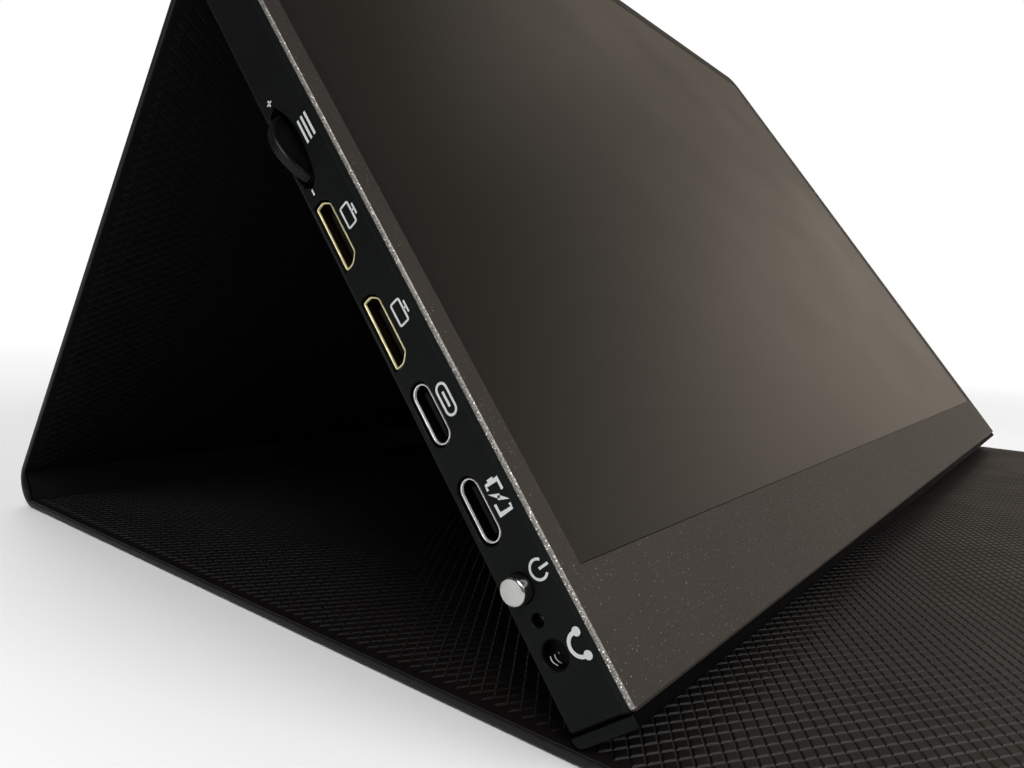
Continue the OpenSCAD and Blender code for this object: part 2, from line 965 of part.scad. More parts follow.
// Carrier over the wheel, with its axle: it slides inwards when pressed
module wheel_carrier() {
    carrier_z = -wheel_depth + wheel_t/2 + carrier_gap;
    color(foam_black)
        on_monitor()
        translate([wheel_x, wheel_y, carrier_z]) {
            cylinder(r = carrier_r, h = carrier_t);
            translate([0, 0, -wheel_t - 2*carrier_gap])
                cylinder(r = axle_r, h = wheel_t + 2*carrier_gap + cut);
            translate([carrier_r - 1, -carrier_r/2, 0])
                cube([carrier_arm, carrier_r, carrier_t]);
        }
}

// Switch that the carrier presses
module wheel_switch() {
    start_x = wheel_x + carrier_r - 1 + carrier_arm + wheel_travel + switch_gap;
    color(chip_black)
        on_monitor()
        translate([start_x, wheel_y - wheel_switch_w/2, floor_z])
        cube([wheel_switch_l, wheel_switch_w, wheel_switch_h]);
}

// Speaker box over its slots
module speaker(side) {
    color(chip_black)
        on_monitor()
        translate([side*speaker_x - speaker_l/2, speaker_y - speaker_w/2, floor_z])
        cube([speaker_l, speaker_w, speaker_h]);
}

module speaker_left() { speaker(-1); }
module speaker_right() { speaker(1); }

// Socket on the main board for the display's cable
module panel_connector() {
    color([0.85, 0.83, 0.76])
        on_monitor()
        translate([connector_x, connector_y, board_top_z])
        cube([connector_w, cable_w, backlight_z - cable_t - board_top_z]);
}

module panel_cable() {
    color(film_amber)
        on_monitor()
        translate([connector_x, connector_y, backlight_z - cable_t])
        cube([cable_l, cable_w, cable_t]);
}

flap_skin();
flap_board();
flap_lining();
flap_magnets();
spine();
back_panel_skin();
back_panel_board();
back_panel_lining();
upper_crease();
upper_panel_skin();
upper_panel_board();
upper_panel_lining();
upper_panel_magnets();
attach_plate();
rear_casing();
bottom_rail();
front_frame();
display_glass();
backlight_unit();
panel_gasket();
main_board();
board_chips();
chip_shield();
board_screws();
casing_screws();
hdmi_shell_1();
hdmi_shell_2();
hdmi_tongue_1();
hdmi_tongue_2();
usb_c_shell_1();
usb_c_shell_2();
usb_c_tongue_1();
usb_c_tongue_2();
audio_jack();
jack_contacts();
power_button();
power_switch();
status_led();
light_pipe();
menu_wheel();
wheel_carrier();
wheel_switch();
speaker_left();
speaker_right();
panel_connector();
panel_cable();
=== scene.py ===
"""Dresses a portable monitor that stands in its own folding cover.

Each sub-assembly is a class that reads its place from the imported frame, builds its
meshes in millimetres of a flat local frame and gives them their finishes.
"""

import json
import logging
import math
from dataclasses import dataclass
from enum import Enum
from typing import Callable, Sequence

import bmesh
import bpy
import numpy as np
from bmesh.types import BMesh
from bpy.types import ID, Material, Mesh, Node, NodeSocket, NodeTree, Object
from mathutils import Matrix, Vector


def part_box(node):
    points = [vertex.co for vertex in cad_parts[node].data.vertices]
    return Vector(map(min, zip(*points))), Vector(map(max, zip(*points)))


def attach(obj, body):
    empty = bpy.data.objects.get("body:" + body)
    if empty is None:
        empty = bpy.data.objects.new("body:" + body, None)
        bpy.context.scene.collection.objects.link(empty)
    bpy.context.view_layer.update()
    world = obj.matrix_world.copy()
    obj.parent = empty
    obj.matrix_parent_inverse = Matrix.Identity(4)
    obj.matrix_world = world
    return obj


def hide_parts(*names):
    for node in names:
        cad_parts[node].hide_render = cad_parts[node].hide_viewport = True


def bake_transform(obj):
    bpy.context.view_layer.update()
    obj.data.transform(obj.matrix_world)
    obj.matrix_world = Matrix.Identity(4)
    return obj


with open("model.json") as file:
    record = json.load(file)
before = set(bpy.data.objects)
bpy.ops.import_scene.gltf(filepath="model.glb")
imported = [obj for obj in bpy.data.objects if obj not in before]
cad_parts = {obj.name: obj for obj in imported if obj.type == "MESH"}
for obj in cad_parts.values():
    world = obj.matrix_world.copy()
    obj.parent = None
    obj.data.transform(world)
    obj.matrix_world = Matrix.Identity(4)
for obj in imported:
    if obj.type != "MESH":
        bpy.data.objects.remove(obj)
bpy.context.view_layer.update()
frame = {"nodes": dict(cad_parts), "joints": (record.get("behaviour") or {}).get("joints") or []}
LOG = logging.getLogger("monitor")
MM = 0.001
X = Vector((1, 0, 0))
SHEET = "sheet_mm"
JOIN_DISTANCE = 1e-4
# Corner radii of the monitor's low edge, and of its top edge and the cover's ends.
LOW_CORNER_R = 1.0
HIGH_CORNER_R = 7.0
# Width of the button's flange, and the play around the button in its hole.
FLANGE_W = 0.3
RUN_GAP = 0.06
Outline = list[tuple[float, float]]
Profile = list[tuple[float, float]]


class Body(Enum):
    """The groups of pieces that move as one."""

    FLAP = "flap"
    BACK_PANEL = "back_panel"
    MONITOR = "monitor"
    BUTTON = "power_button"
    WHEEL = "menu_wheel"


# Local frames


@dataclass(frozen=True)
class Axes:
    """A flat local frame in millimetres: right and up lie in a face, out leaves it."""

    origin: Vector
    right: Vector
    up: Vector

    @property
    def out(self) -> Vector:
        """Direction out of the face."""
        return self.right.cross(self.up)

    def turn(self) -> Matrix:
        """Rotation from the product's axes to the local ones."""
        return Matrix((self.right, self.up, self.out))

    def matrix(self) -> Matrix:
        """Matrix from local millimetres to the product's metres."""
        turned = self.turn().transposed().to_4x4()
        return Matrix.Translation(self.origin) @ turned @ Matrix.Scale(MM, 4)

    def span(self, *nodes: str) -> tuple[Vector, Vector]:
        """Lowest and highest local corner of some nodes.

        Args:
            nodes: names of nodes in the frame.

        Returns:
            Both corners, in millimetres.
        """
        back = self.matrix().inverted()
        points = np.array([back @ v.co for n in nodes for v in frame["nodes"][n].data.vertices])
        return Vector(points.min(0)), Vector(points.max(0))


def broad_normal(node: str) -> Vector:
    """Upward normal of a node's broadest flat side.

    Args:
        node: name of a node in the frame.

    Returns:
        A unit vector with a positive height.
    """
    sums: dict[tuple[float, ...], Vector] = {}
    for face in frame["nodes"][node].data.polygons:
        key = tuple(round(abs(c), 2) for c in face.normal)
        normal = face.normal if face.normal.z > 0 else -face.normal
        sums[key] = sums.get(key, Vector()) + normal * face.area
    return max(sums.values(), key=lambda v: v.length).normalized()


def monitor_axes() -> Axes:
    """Frame of the monitor: x from its middle, y up from its low edge, z out of its face.

    Returns:
        The frame, measured on the glass and the front frame.
    """
    out = broad_normal("display_glass")
    up = out.cross(X)
    points = [v.co for v in frame["nodes"]["front_frame"].data.vertices]
    low = min(up.dot(p) for p in points)
    face = max(out.dot(p) for p in points)
    return Axes(up * low + out * face, X, up)


MONITOR = monitor_axes()
LEFT_X = MONITOR.span("rear_casing")[0].x
WALL = Axes(MONITOR.matrix() @ Vector((LEFT_X, 0, 0)), MONITOR.out, MONITOR.up)
COVER_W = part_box("flap_skin")[1].x / MM * 2


# Finishes


class Nodes:
    """Short ways to add nodes to the tree of a material or the world."""

    def __init__(self, tree: NodeTree) -> None:
        """Empties a tree to build in.

        Args:
            tree: the node tree.
        """
        self.tree = tree
        tree.nodes.clear()

    def add(self, kind: str, **settings: object) -> Node:
        """Adds a node.

        Args:
            kind: Blender's name of the node type.
            settings: attributes to set on it.

        Returns:
            The new node.
        """
        node = self.tree.nodes.new(kind)
        for key, value in settings.items():
            setattr(node, key, value)
        return node

    def link(self, source: NodeSocket, target: NodeSocket) -> None:
        """Joins two sockets."""
        self.tree.links.new(source, target)

    def feed(self, target: NodeSocket, value: object) -> None:
        """Gives an input what another socket, a number or a colour says.

        Args:
            target: the input.
            value: the socket that is joined to it, or its plain value.
        """
        if isinstance(value, NodeSocket):
            self.link(value, target)
        else:
            target.default_value = (*value, 1) if isinstance(value, tuple) else value

    def fill(self, node: Node, **values: object) -> None:
        """Feeds a node's inputs, named with underscores for spaces."""
        for key, value in values.items():
            self.feed(node.inputs[key.replace("_", " ")], value)

    def math(self, operation: str, *values: NodeSocket | float) -> NodeSocket:
        """Works out a value from others.

        Args:
            operation: Blender's name of the operation.
            values: sockets or numbers, in order.

        Returns:
            A value socket.
        """
        node = self.add("ShaderNodeMath", operation=operation)
        for target, value in zip(node.inputs, values):
            self.feed(target, value)
        return node.outputs[0]

    def ramp(self, value: NodeSocket, stops: Sequence[tuple[float, float | tuple]]) -> NodeSocket:
        """Turns a value into a colour or grey along a ramp.

        Args:
            value: the socket that is looked up.
            stops: places from 0 to 1, each with a grey or a colour.

        Returns:
            A colour socket.
        """
        node = self.add("ShaderNodeValToRGB")
        elements = node.color_ramp.elements
        while len(elements) < len(stops):
            elements.new(0.5)
        for element, (place, shade) in zip(elements, stops):
            element.position = place
            element.color = (*shade, 1) if isinstance(shade, tuple) else (shade, shade, shade, 1)
        self.link(value, node.inputs["Fac"])
        return node.outputs["Color"]

    def spread(self, value: NodeSocket, low: float | tuple, high: float | tuple,
               start: float = 0.3) -> NodeSocket:
        """Spreads a noise's middle values between two greys or colours.

        Args:
            value: the noise.
            low: what it turns into at the start and below.
            high: what it turns into as far above the middle.
            start: the value at which the change starts.

        Returns:
            A colour socket.
        """
        return self.ramp(value, [(start, low), (1 - start, high)])

    def mix(self, kind: str, share: NodeSocket | float, a: object, b: object) -> NodeSocket:
        """Blends two colours.

        Args:
            kind: the blend type, such as MIX or MULTIPLY.
            share: weight of the second colour.
            a: a colour or socket.
            b: a colour or socket.

        Returns:
            A colour socket.
        """
        node = self.add("ShaderNodeMix", data_type="RGBA", blend_type=kind)
        for target, value in ((node.inputs[0], share), (node.inputs[6], a), (node.inputs[7], b)):
            self.feed(target, value)
        return node.outputs[2]

    def seen(self, path: Node) -> NodeSocket:
        """Tells rays that see a thing, straight on or by way of another, from light on it.

        Args:
            path: the light path's node.

        Returns:
            A value socket, 1 for rays that see.
        """
        mirrored = self.math("MAXIMUM", path.outputs["Is Camera Ray"], path.outputs["Is Glossy Ray"])
        return self.math("MAXIMUM", mirrored, path.outputs["Is Transmission Ray"])


class Recipe(Nodes):
    """A new material with a Principled shader and patterns for it."""

    def __init__(self, name: str) -> None:
        """Makes the material.

        Args:
            name: name of the material.
        """
        self.material = bpy.data.materials.new(name)
        self.material.use_nodes = True
        super().__init__(self.material.node_tree)
        self.shader = self.add("ShaderNodeBsdfPrincipled")
        self.output = self.add("ShaderNodeOutputMaterial")
        self.link(self.shader.outputs[0], self.output.inputs["Surface"])

    def set(self, **values: object) -> None:
        """Feeds the shader's inputs, named with underscores for spaces."""
        self.fill(self.shader, **values)

    def mapped(self, place: NodeSocket, scale: Sequence[float], turn: Sequence[float] = (0, 0, 0),
               shift: Sequence[float] = (0, 0, 0)) -> NodeSocket:
        """A place that is scaled, turned and shifted.

        Args:
            place: the place's socket.
            scale: factor along each axis.
            turn: angle about each axis.
            shift: way along each axis.

        Returns:
            A vector socket.
        """
        node = self.add("ShaderNodeMapping")
        for name, value in (("Scale", scale), ("Rotation", turn), ("Location", shift)):
            node.inputs[name].default_value = value
        self.link(place, node.inputs["Vector"])
        return node.outputs["Vector"]

    def place(self, axes: Axes | None) -> NodeSocket:
        """Millimetre coordinates for patterns.

        Args:
            axes: the local frame to turn object coordinates to, or None for the
                place on the unrolled sheet that the mesh carries.

        Returns:
            A vector socket.
        """
        if axes is None:
            return self.add("ShaderNodeAttribute", attribute_name=SHEET).outputs["Vector"]
        source = self.add("ShaderNodeTexCoord").outputs["Object"]
        turn = axes.turn()
        return self.mapped(source, (1 / MM,) * 3, turn.to_euler("XYZ"), -(turn @ axes.origin) / MM)

    def texture(self, kind: str, place: NodeSocket, **values: object) -> Node:
        """Adds a texture.

        Args:
            kind: the texture's name at the end of Blender's node type.
            place: where the pattern is read.
            values: its inputs, named with underscores for spaces.

        Returns:
            The texture's node.
        """
        node = self.add("ShaderNodeTex" + kind)
        self.fill(node, Vector=place, **values)
        return node

    def noise(self, place: NodeSocket, scale: float, detail: float = 3) -> NodeSocket:
        """Soft noise around 0.5.

        Args:
            place: where the pattern is read.
            scale: features per millimetre.
            detail: octaves of finer noise.

        Returns:
            A value socket.
        """
        return self.texture("Noise", place, Scale=scale, Detail=detail).outputs["Fac"]

    def bump(self, height: NodeSocket, depth_mm: float, strength: float = 1,
             under: NodeSocket | None = None) -> NodeSocket:
        """Raises the surface by a pattern.

        Args:
            height: the pattern, from 0 to 1.
            depth_mm: how high a value of 1 stands.
            strength: weight of the effect.
            under: another bump's normal, for a second pattern on the first.

        Returns:
            The normal socket, which is also joined to the shader.
        """
        node = self.add("ShaderNodeBump")
        self.fill(node, Strength=strength, Distance=depth_mm * MM, Height=height)
        if under is not None:
            self.fill(node, Normal=under)
        self.set(Normal=node.outputs["Normal"])
        return node.outputs["Normal"]


def tone(colour: tuple, factor: float) -> tuple:
    """A colour made lighter or darker."""
    return tuple(min(1.0, c * factor) for c in colour)


@dataclass(frozen=True)
class Leather:
    """Imitation leather with a fine pebbled grain, read on the unrolled sheet."""

    name: str
    colour: tuple
    grain: float
    depth: float
    gloss: float
    specular: float

    def material(self) -> Material:
        """Builds the material.

        Returns:
            The material, for a mesh that carries its place on the sheet.
        """
        r = Recipe(self.name)
        place = r.place(None)
        pebbles = r.texture("Voronoi", place, Scale=self.grain).outputs["Distance"]
        cloud = r.noise(place, 0.05, 4)
        wear = r.spread(cloud, tone(self.colour, 0.9), tone(self.colour, 1.12), 0.35)
        dark = r.ramp(pebbles, [(0.0, 1.0), (0.75, 0.72)])
        rough = r.spread(cloud, 1 - self.gloss, 0.92 - self.gloss)
        r.set(Base_Color=r.mix("MULTIPLY", 1.0, wear, dark), Roughness=rough)
        fine = r.bump(r.noise(place, 9, 2), 0.012, 0.5)
        r.bump(r.ramp(pebbles, [(0.05, 1.0), (0.7, 0.0)]), self.depth, 0.8, fine)
        r.set(Specular_IOR_Level=self.specular)
        return r.material


@dataclass(frozen=True)
class SatinPaint:
    """Satin paint on sheet metal or moulded plastic, with a faint orange peel."""

    name: str
    colour: tuple
    roughness: float = 0.45
    peel: float = 0.006
    specular: float = 0.5

    def material(self, axes: Axes = MONITOR) -> Material:
        """Builds the material.

        Args:
            axes: the local frame that the pattern lies in.

        Returns:
            The material.
        """
        r = Recipe(self.name)
        place = r.place(axes)
        cloud, smudge = r.noise(place, 0.08, 4), r.noise(place, 0.3, 5)
        low, high = max(self.roughness - 0.05, 0.02), min(self.roughness + 0.06, 1.0)
        r.set(Base_Color=r.spread(cloud, tone(self.colour, 0.88), tone(self.colour, 1.12)),
              Roughness=r.spread(smudge, low, high, 0.35), Specular_IOR_Level=self.specular)
        r.bump(r.noise(place, 3.5, 3), self.peel)
        return r.material


@dataclass(frozen=True)
class SparklePaint:
    """Metallic paint with flakes of metal that catch the light."""

    name: str
    colour: tuple
    flake: tuple
    flake_share: float
    flakes_per_mm: float
    roughness: float
    contrast: float
    relief: float = 0.012

    def material(self) -> Material:
        """Builds the material.

        Returns:
            The material, its pattern in the monitor's frame.
        """
        r = Recipe(self.name)
        place = r.place(MONITOR)
        cloud = r.noise(place, 0.03, 3)
        ground = r.spread(cloud, tone(self.colour, 0.92), tone(self.colour, 1.08))
        split = r.add("ShaderNodeSeparateColor")
        r.link(r.texture("Voronoi", place, Scale=self.flakes_per_mm).outputs["Color"], split.inputs[0])
        lots = split.outputs[0]
        start = 1 - self.flake_share
        bright = r.ramp(lots, [(start - 0.002, 0.0), (start, 1.0)])
        fine = r.noise(place, self.flakes_per_mm * 0.9, 2)
        grain = r.ramp(fine, [(0.32, 1 - self.contrast * 2), (0.68, 1.0)])
        rough = r.ramp(lots, [(0.2, self.roughness + 0.08), (0.9, self.roughness - 0.08)])
        r.set(Base_Color=r.mix("MIX", bright, r.mix("MULTIPLY", 1.0, ground, grain), self.flake),
              Roughness=rough, Metallic=0.7)
        r.bump(fine, self.relief)
        return r.material


@dataclass(frozen=True)
class BareMetal:
    """Bare or plated metal with fine lines from rolling or turning."""

    name: str
    colour: tuple
    roughness: float
    lines: tuple = (6, 0.4, 6)
    scratch: float = 0.003
    metallic: float = 1.0

    def material(self, axes: Axes = WALL) -> Material:
        """Builds the material.

        Args:
            axes: the local frame that the lines follow.

        Returns:
            The material.
        """
        r = Recipe(self.name)
        place = r.place(axes)
        streak = r.noise(r.mapped(place, self.lines), 1.0, 4)
        tarnish = r.noise(place, 0.6, 4)
        rough = r.spread(streak, max(self.roughness - 0.07, 0.03), self.roughness + 0.1)
        r.set(Base_Color=r.spread(tarnish, tone(self.colour, 0.86), tone(self.colour, 1.04)),
              Roughness=rough, Metallic=self.metallic)
        r.bump(streak, self.scratch)
        return r.material


@dataclass(frozen=True)
class ScreenFilm:
    """Matt display that is switched off, with its dark border around the picture."""

    picture: tuple = (0.0072, 0.0062, 0.0052)
    border: tuple = (0.006, 0.0055, 0.0055)
    roughness: float = 0.24
    border_w: float = 2.2

    def material(self, low: Vector, high: Vector) -> Material:
        """Builds the material.

        Args:
            low: lowest corner of the display in the monitor's frame.
            high: highest corner.

        Returns:
            The material.
        """
        r = Recipe("matt_display")
        place = r.place(MONITOR)
        split = r.add("ShaderNodeSeparateXYZ")
        r.link(place, split.inputs[0])
        middle, half, inside = (low + high) / 2, (high - low) / 2, 1.0
        for i in (0, 1):
            away = r.math("ABSOLUTE", r.math("SUBTRACT", split.outputs[i], middle[i]))
            inside = r.math("MULTIPLY", inside, r.math("LESS_THAN", away, half[i] - self.border_w))
        smear = r.noise(r.mapped(place, (0.02, 0.03, 1)), 1.0, 4)
        r.set(Base_Color=r.mix("MIX", inside, self.border, self.picture),
              Roughness=r.spread(smear, self.roughness - 0.02, self.roughness + 0.03))
        r.bump(r.noise(place, 14, 2), 0.0012, 0.5)
        return r.material


@dataclass(frozen=True)
class CircuitBoard:
    """Green solder mask over copper tracks."""

    light: tuple = (0.012, 0.07, 0.03)
    dark: tuple = (0.016, 0.09, 0.04)
    track: tuple = (0.03, 0.16, 0.07)

    def material(self) -> Material:
        """Builds the material.

        Returns:
            The material, its tracks in the monitor's frame.
        """
        r = Recipe("solder_mask")
        bricks = r.texture("Brick", r.place(MONITOR), Scale=0.5, Mortar_Size=0.03,
                           Color1=self.light, Color2=self.dark, Mortar=self.track)
        r.set(Base_Color=bricks.outputs["Color"], Roughness=0.35)
        r.bump(bricks.outputs["Fac"], 0.03, 0.5)
        return r.material


@dataclass(frozen=True)
class ClearRod:
    """Smoked clear plastic of a light pipe."""

    dark: tuple = (0.006, 0.0065, 0.006)
    light: tuple = (0.01, 0.011, 0.01)

    def material(self) -> Material:
        """Builds the material.

        Returns:
            The material.
        """
        r = Recipe("smoked_rod")
        haze = r.noise(r.place(WALL), 2.0, 3)
        r.set(Base_Color=r.spread(haze, self.dark, self.light), Roughness=r.spread(haze, 0.08, 0.16),
              Coat_Weight=0.6, Coat_Roughness=0.05)
        return r.material


SKIN = Leather("cover_leather", (0.0105, 0.0105, 0.0115), 1.9, 0.035, 0.42, 0.25)
LINING = Leather("lining_leather", (0.0062, 0.0052, 0.0047), 5.0, 0.01, 0.56, 0.42)
# A darker, less shiny copy of the lining for the spine and the back panel, which lie in shade: painted
# shade.
LINING_SHADE = Leather("inner_lining_painted_shade", (0.005, 0.005, 0.0055), 5.0, 0.01, 0.4, 0.12)
CASING_PAINT = SatinPaint("casing_paint", (0.0058, 0.007, 0.0065), 0.42, specular=0.05)
# A darker copy of the casing paint for the walls inside the side openings: painted shade.
OPENING_SHADE = SatinPaint("opening_painted_shade", (0.002, 0.0023, 0.0023), 0.5, specular=0.03)
RAIL_PLASTIC = SatinPaint("rail_plastic", (0.0058, 0.007, 0.0065), 0.45, specular=0.05)
# A far darker copy of the rail's plastic for its long sides: painted shade.
RAIL_SHADE = SatinPaint("rail_painted_shade", (0.0012, 0.0012, 0.0013), 0.6, specular=0.02)
FRAME_SIDE = SatinPaint("frame_side", (0.006, 0.0072, 0.0068), 0.45, specular=0.07)
FRAME_PAINT = SparklePaint("frame_paint", (0.076, 0.066, 0.057), (0.3, 0.26, 0.22), 0.007, 6.5, 0.5, 0.24)
# The chamfer's paint, made far lighter than the face's: a painted highlight along the chamfers that catch
# the light.
RIM_PAINTED_HIGHLIGHT = SparklePaint("rim_painted_highlight", (0.42, 0.4, 0.37), (0.95, 0.92, 0.88), 0.05, 6.5, 0.45, 0.42, 0.05)
# Only half metallic, the rest a pale diffuse colour, so that the shells' flat lips carry an even painted
# highlight.
GOLD = BareMetal("gold_plate_painted_highlight", (0.95, 0.86, 0.5), 0.3, metallic=0.5)
STEEL = BareMetal("steel_painted_highlight", (0.84, 0.84, 0.82), 0.26, metallic=0.5)
# Darker copies of the gold and the steel for the deep insides of the shells: painted shade.
GOLD_PAINTED_SHADE = BareMetal("gold_painted_shade", (0.045, 0.027, 0.012), 0.5)
STEEL_PAINTED_SHADE = BareMetal("steel_painted_shade", (0.012, 0.012, 0.011), 0.5)
# Pale and mostly diffuse, so that the springs deep in the dark bore show a painted glint.
SPRING_PAINTED_GLINT = BareMetal("spring_painted_glint", (0.7, 0.7, 0.68), 0.4, metallic=0.3)
CONTACT = BareMetal("contact_metal", (0.8, 0.72, 0.52), 0.25)
SCREW_STEEL = BareMetal("screw_steel", (0.12, 0.12, 0.125), 0.35)
MAGNET = BareMetal("nickel_plate", (0.6, 0.59, 0.56), 0.25)
TIN = BareMetal("tin_plate", (0.6, 0.6, 0.58), 0.3)
TRAY = BareMetal("pressed_tray", (0.55, 0.56, 0.57), 0.4)
TONGUE_PLASTIC = SatinPaint("tongue_plastic", (0.0045, 0.0045, 0.005), 0.55, specular=0.1)
DARK_PLASTIC = SatinPaint("dark_plastic", (0.02, 0.02, 0.022), 0.5)
WHEEL_PLASTIC = SatinPaint("wheel_plastic", (0.004, 0.0042, 0.0045), 0.24, peel=0.002, specular=0.16)
# A darker, duller copy of the wheel's plastic for its flat faces: painted shade.
WHEEL_FACE_SHADE = SatinPaint("wheel_painted_shade", (0.0025, 0.0025, 0.003), 0.5, specular=0.05)
JACK_PLASTIC = SatinPaint("jack_plastic", (0.0016, 0.0016, 0.0018), 0.35, specular=0.04)
PALE_PLASTIC = SatinPaint("pale_plastic", (0.6, 0.58, 0.52), 0.5)
PRINT_INK = SatinPaint("print_ink", (0.62, 0.64, 0.65), 0.55, peel=0.002)
FIBRE_BOARD = SatinPaint("fibre_board", (0.3, 0.27, 0.23), 0.85, peel=0.03)
FOAM = SatinPaint("closed_foam", (0.02, 0.02, 0.021), 0.9, peel=0.05)
FILM = SatinPaint("amber_film", (0.35, 0.16, 0.03), 0.3)
BUTTON_METAL = BareMetal("turned_button", (0.5, 0.5, 0.485), 0.2, lines=(0.5, 0.5, 9), scratch=0.002)


# Outlines and solids


def arc(x: float, y: float, r: float, start: float, end: float, steps: int) -> Outline:
    """Points along an arc.

    Args:
        x: centre's x.
        y: centre's y.
        r: radius.
        start: first angle in degrees.
        end: last angle in degrees.
        steps: number of chords.

    Returns:
        The points, both ends included.
    """
    turns = [math.radians(start + (end - start) * i / steps) for i in range(steps + 1)]
    return [(x + r * math.cos(t), y + r * math.sin(t)) for t in turns]


def rounded_box(low: Sequence[float], high: Sequence[float], low_r: float,
                high_r: float | None = None, steps: int = 6) -> Outline:
    """Rectangle with round corners.

    Args:
        low: lowest corner.
        high: highest corner.
        low_r: radius of the two low corners.
        high_r: radius of the two high corners, or None for the same.
        steps: chords in each corner.

    Returns:
        A counter-clockwise outline.
    """
    (x0, y0), (x1, y1) = low[:2], high[:2]
    high_r = low_r if high_r is None else high_r
    return (
        arc(x0 + low_r, y0 + low_r, low_r, 180, 270, steps)
        + arc(x1 - low_r, y0 + low_r, low_r, 270, 360, steps)
        + arc(x1 - high_r, y1 - high_r, high_r, 0, 90, steps)
        + arc(x0 + high_r, y1 - high_r, high_r, 90, 180, steps)
    )


def stadium(x: float, y: float, w: float, h: float, steps: int = 14) -> Outline:
    """Slot with round ends, taller than it is wide, about a centre."""
    r = w / 2
    reach = h / 2 - r
    return arc(x, y - reach, r, 180, 360, steps) + arc(x, y + reach, r, 0, 180, steps)


def circle(x: float, y: float, r: float, steps: int = 48) -> Outline:
    """A whole circle without a doubled point."""
    return arc(x, y, r, 0, 360, steps)[:-1]


def softened(corners: Outline, r: float, steps: int = 4) -> Outline:
    """Rounds each corner of a convex outline.

    Args:
        corners: the sharp corners in order.
        r: length cut from each side of a corner.
        steps: chords in each corner.

    Returns:
        The rounded outline.
    """
    points: Outline = []
    for i, corner in enumerate(corners):
        here = Vector(corner)
        before = (Vector(corners[i - 1]) - here).normalized() * r
        after = (Vector(corners[(i + 1) % len(corners)]) - here).normalized() * r
        for k in range(steps + 1):
            t = k / steps
            point = here + before * (1 - t) ** 2 + after * t ** 2
            points.append((point.x, point.y))
    return points


def inset(outline: Outline, d: float) -> Outline:
    """Moves each point of an outline inwards along its mitre.

    Args:
        outline: a closed outline, in either direction.
        d: the distance, negative to move outwards.

    Returns:
        As many points as came in.
    """
    points = [Vector(p) for p in outline]
    area = sum(a.cross(b) for a, b in zip(points, points[1:] + points[:1]))
    side = math.copysign(1, area)
    moved: Outline = []
    for i, here in enumerate(points):
        before = (here - points[i - 1]).normalized()
        after = (points[(i + 1) % len(points)] - here).normalized()
        normals = [Vector((-v.y, v.x)) * side for v in (before, after)]
        mitre = (normals[0] + normals[1]).normalized()
        share = max(mitre.dot(normals[0]), 0.3)
        point = here + mitre * d / share
        moved.append((point.x, point.y))
    return moved


def edge_profile(depth: float, low_r: float, high_r: float, hold: float = 0.25,
                 steps: int = 4) -> Profile:
    """Inset and height of each ring of a slab with rounded edges.

    Args:
        depth: thickness of the slab.
        low_r: radius of its low edge.
        high_r: radius of its high edge.
        hold: width of a flat ring that keeps the faces flat beside each radius.
        steps: chords in each radius.

    Returns:
        Pairs of inset and height, from the low face to the high one.
    """
    rings: Profile = []
    quarter = math.pi / 2
    if low_r:
        rings.append((low_r + hold, 0))
        for k in range(steps + 1):
            t = quarter * k / steps
            rings.append((low_r * (1 - math.sin(t)), low_r * (1 - math.cos(t))))
    else:
        rings.append((0, 0))
    if depth > low_r + high_r + 2 * hold:
        rings += [(0, low_r + hold), (0, depth - high_r - hold)]
    if high_r:
        for k in range(steps + 1):
            t = quarter * k / steps
            rings.append((high_r * (1 - math.cos(t)), depth - high_r * (1 - math.sin(t))))
        rings.append((high_r + hold, depth))
    else:
        rings.append((0, depth))
    return rings


def linked(name: str, data: ID) -> Object:
    """Puts a new object with some data into the scene."""
    thing = bpy.data.objects.new(name, data)
    bpy.context.scene.collection.objects.link(thing)
    return thing


def modified(thing: Object) -> Mesh:
    """A plain mesh of what an object's modifiers make of it."""
    graph = bpy.context.evaluated_depsgraph_get()
    return bpy.data.meshes.new_from_object(thing.evaluated_get(graph))


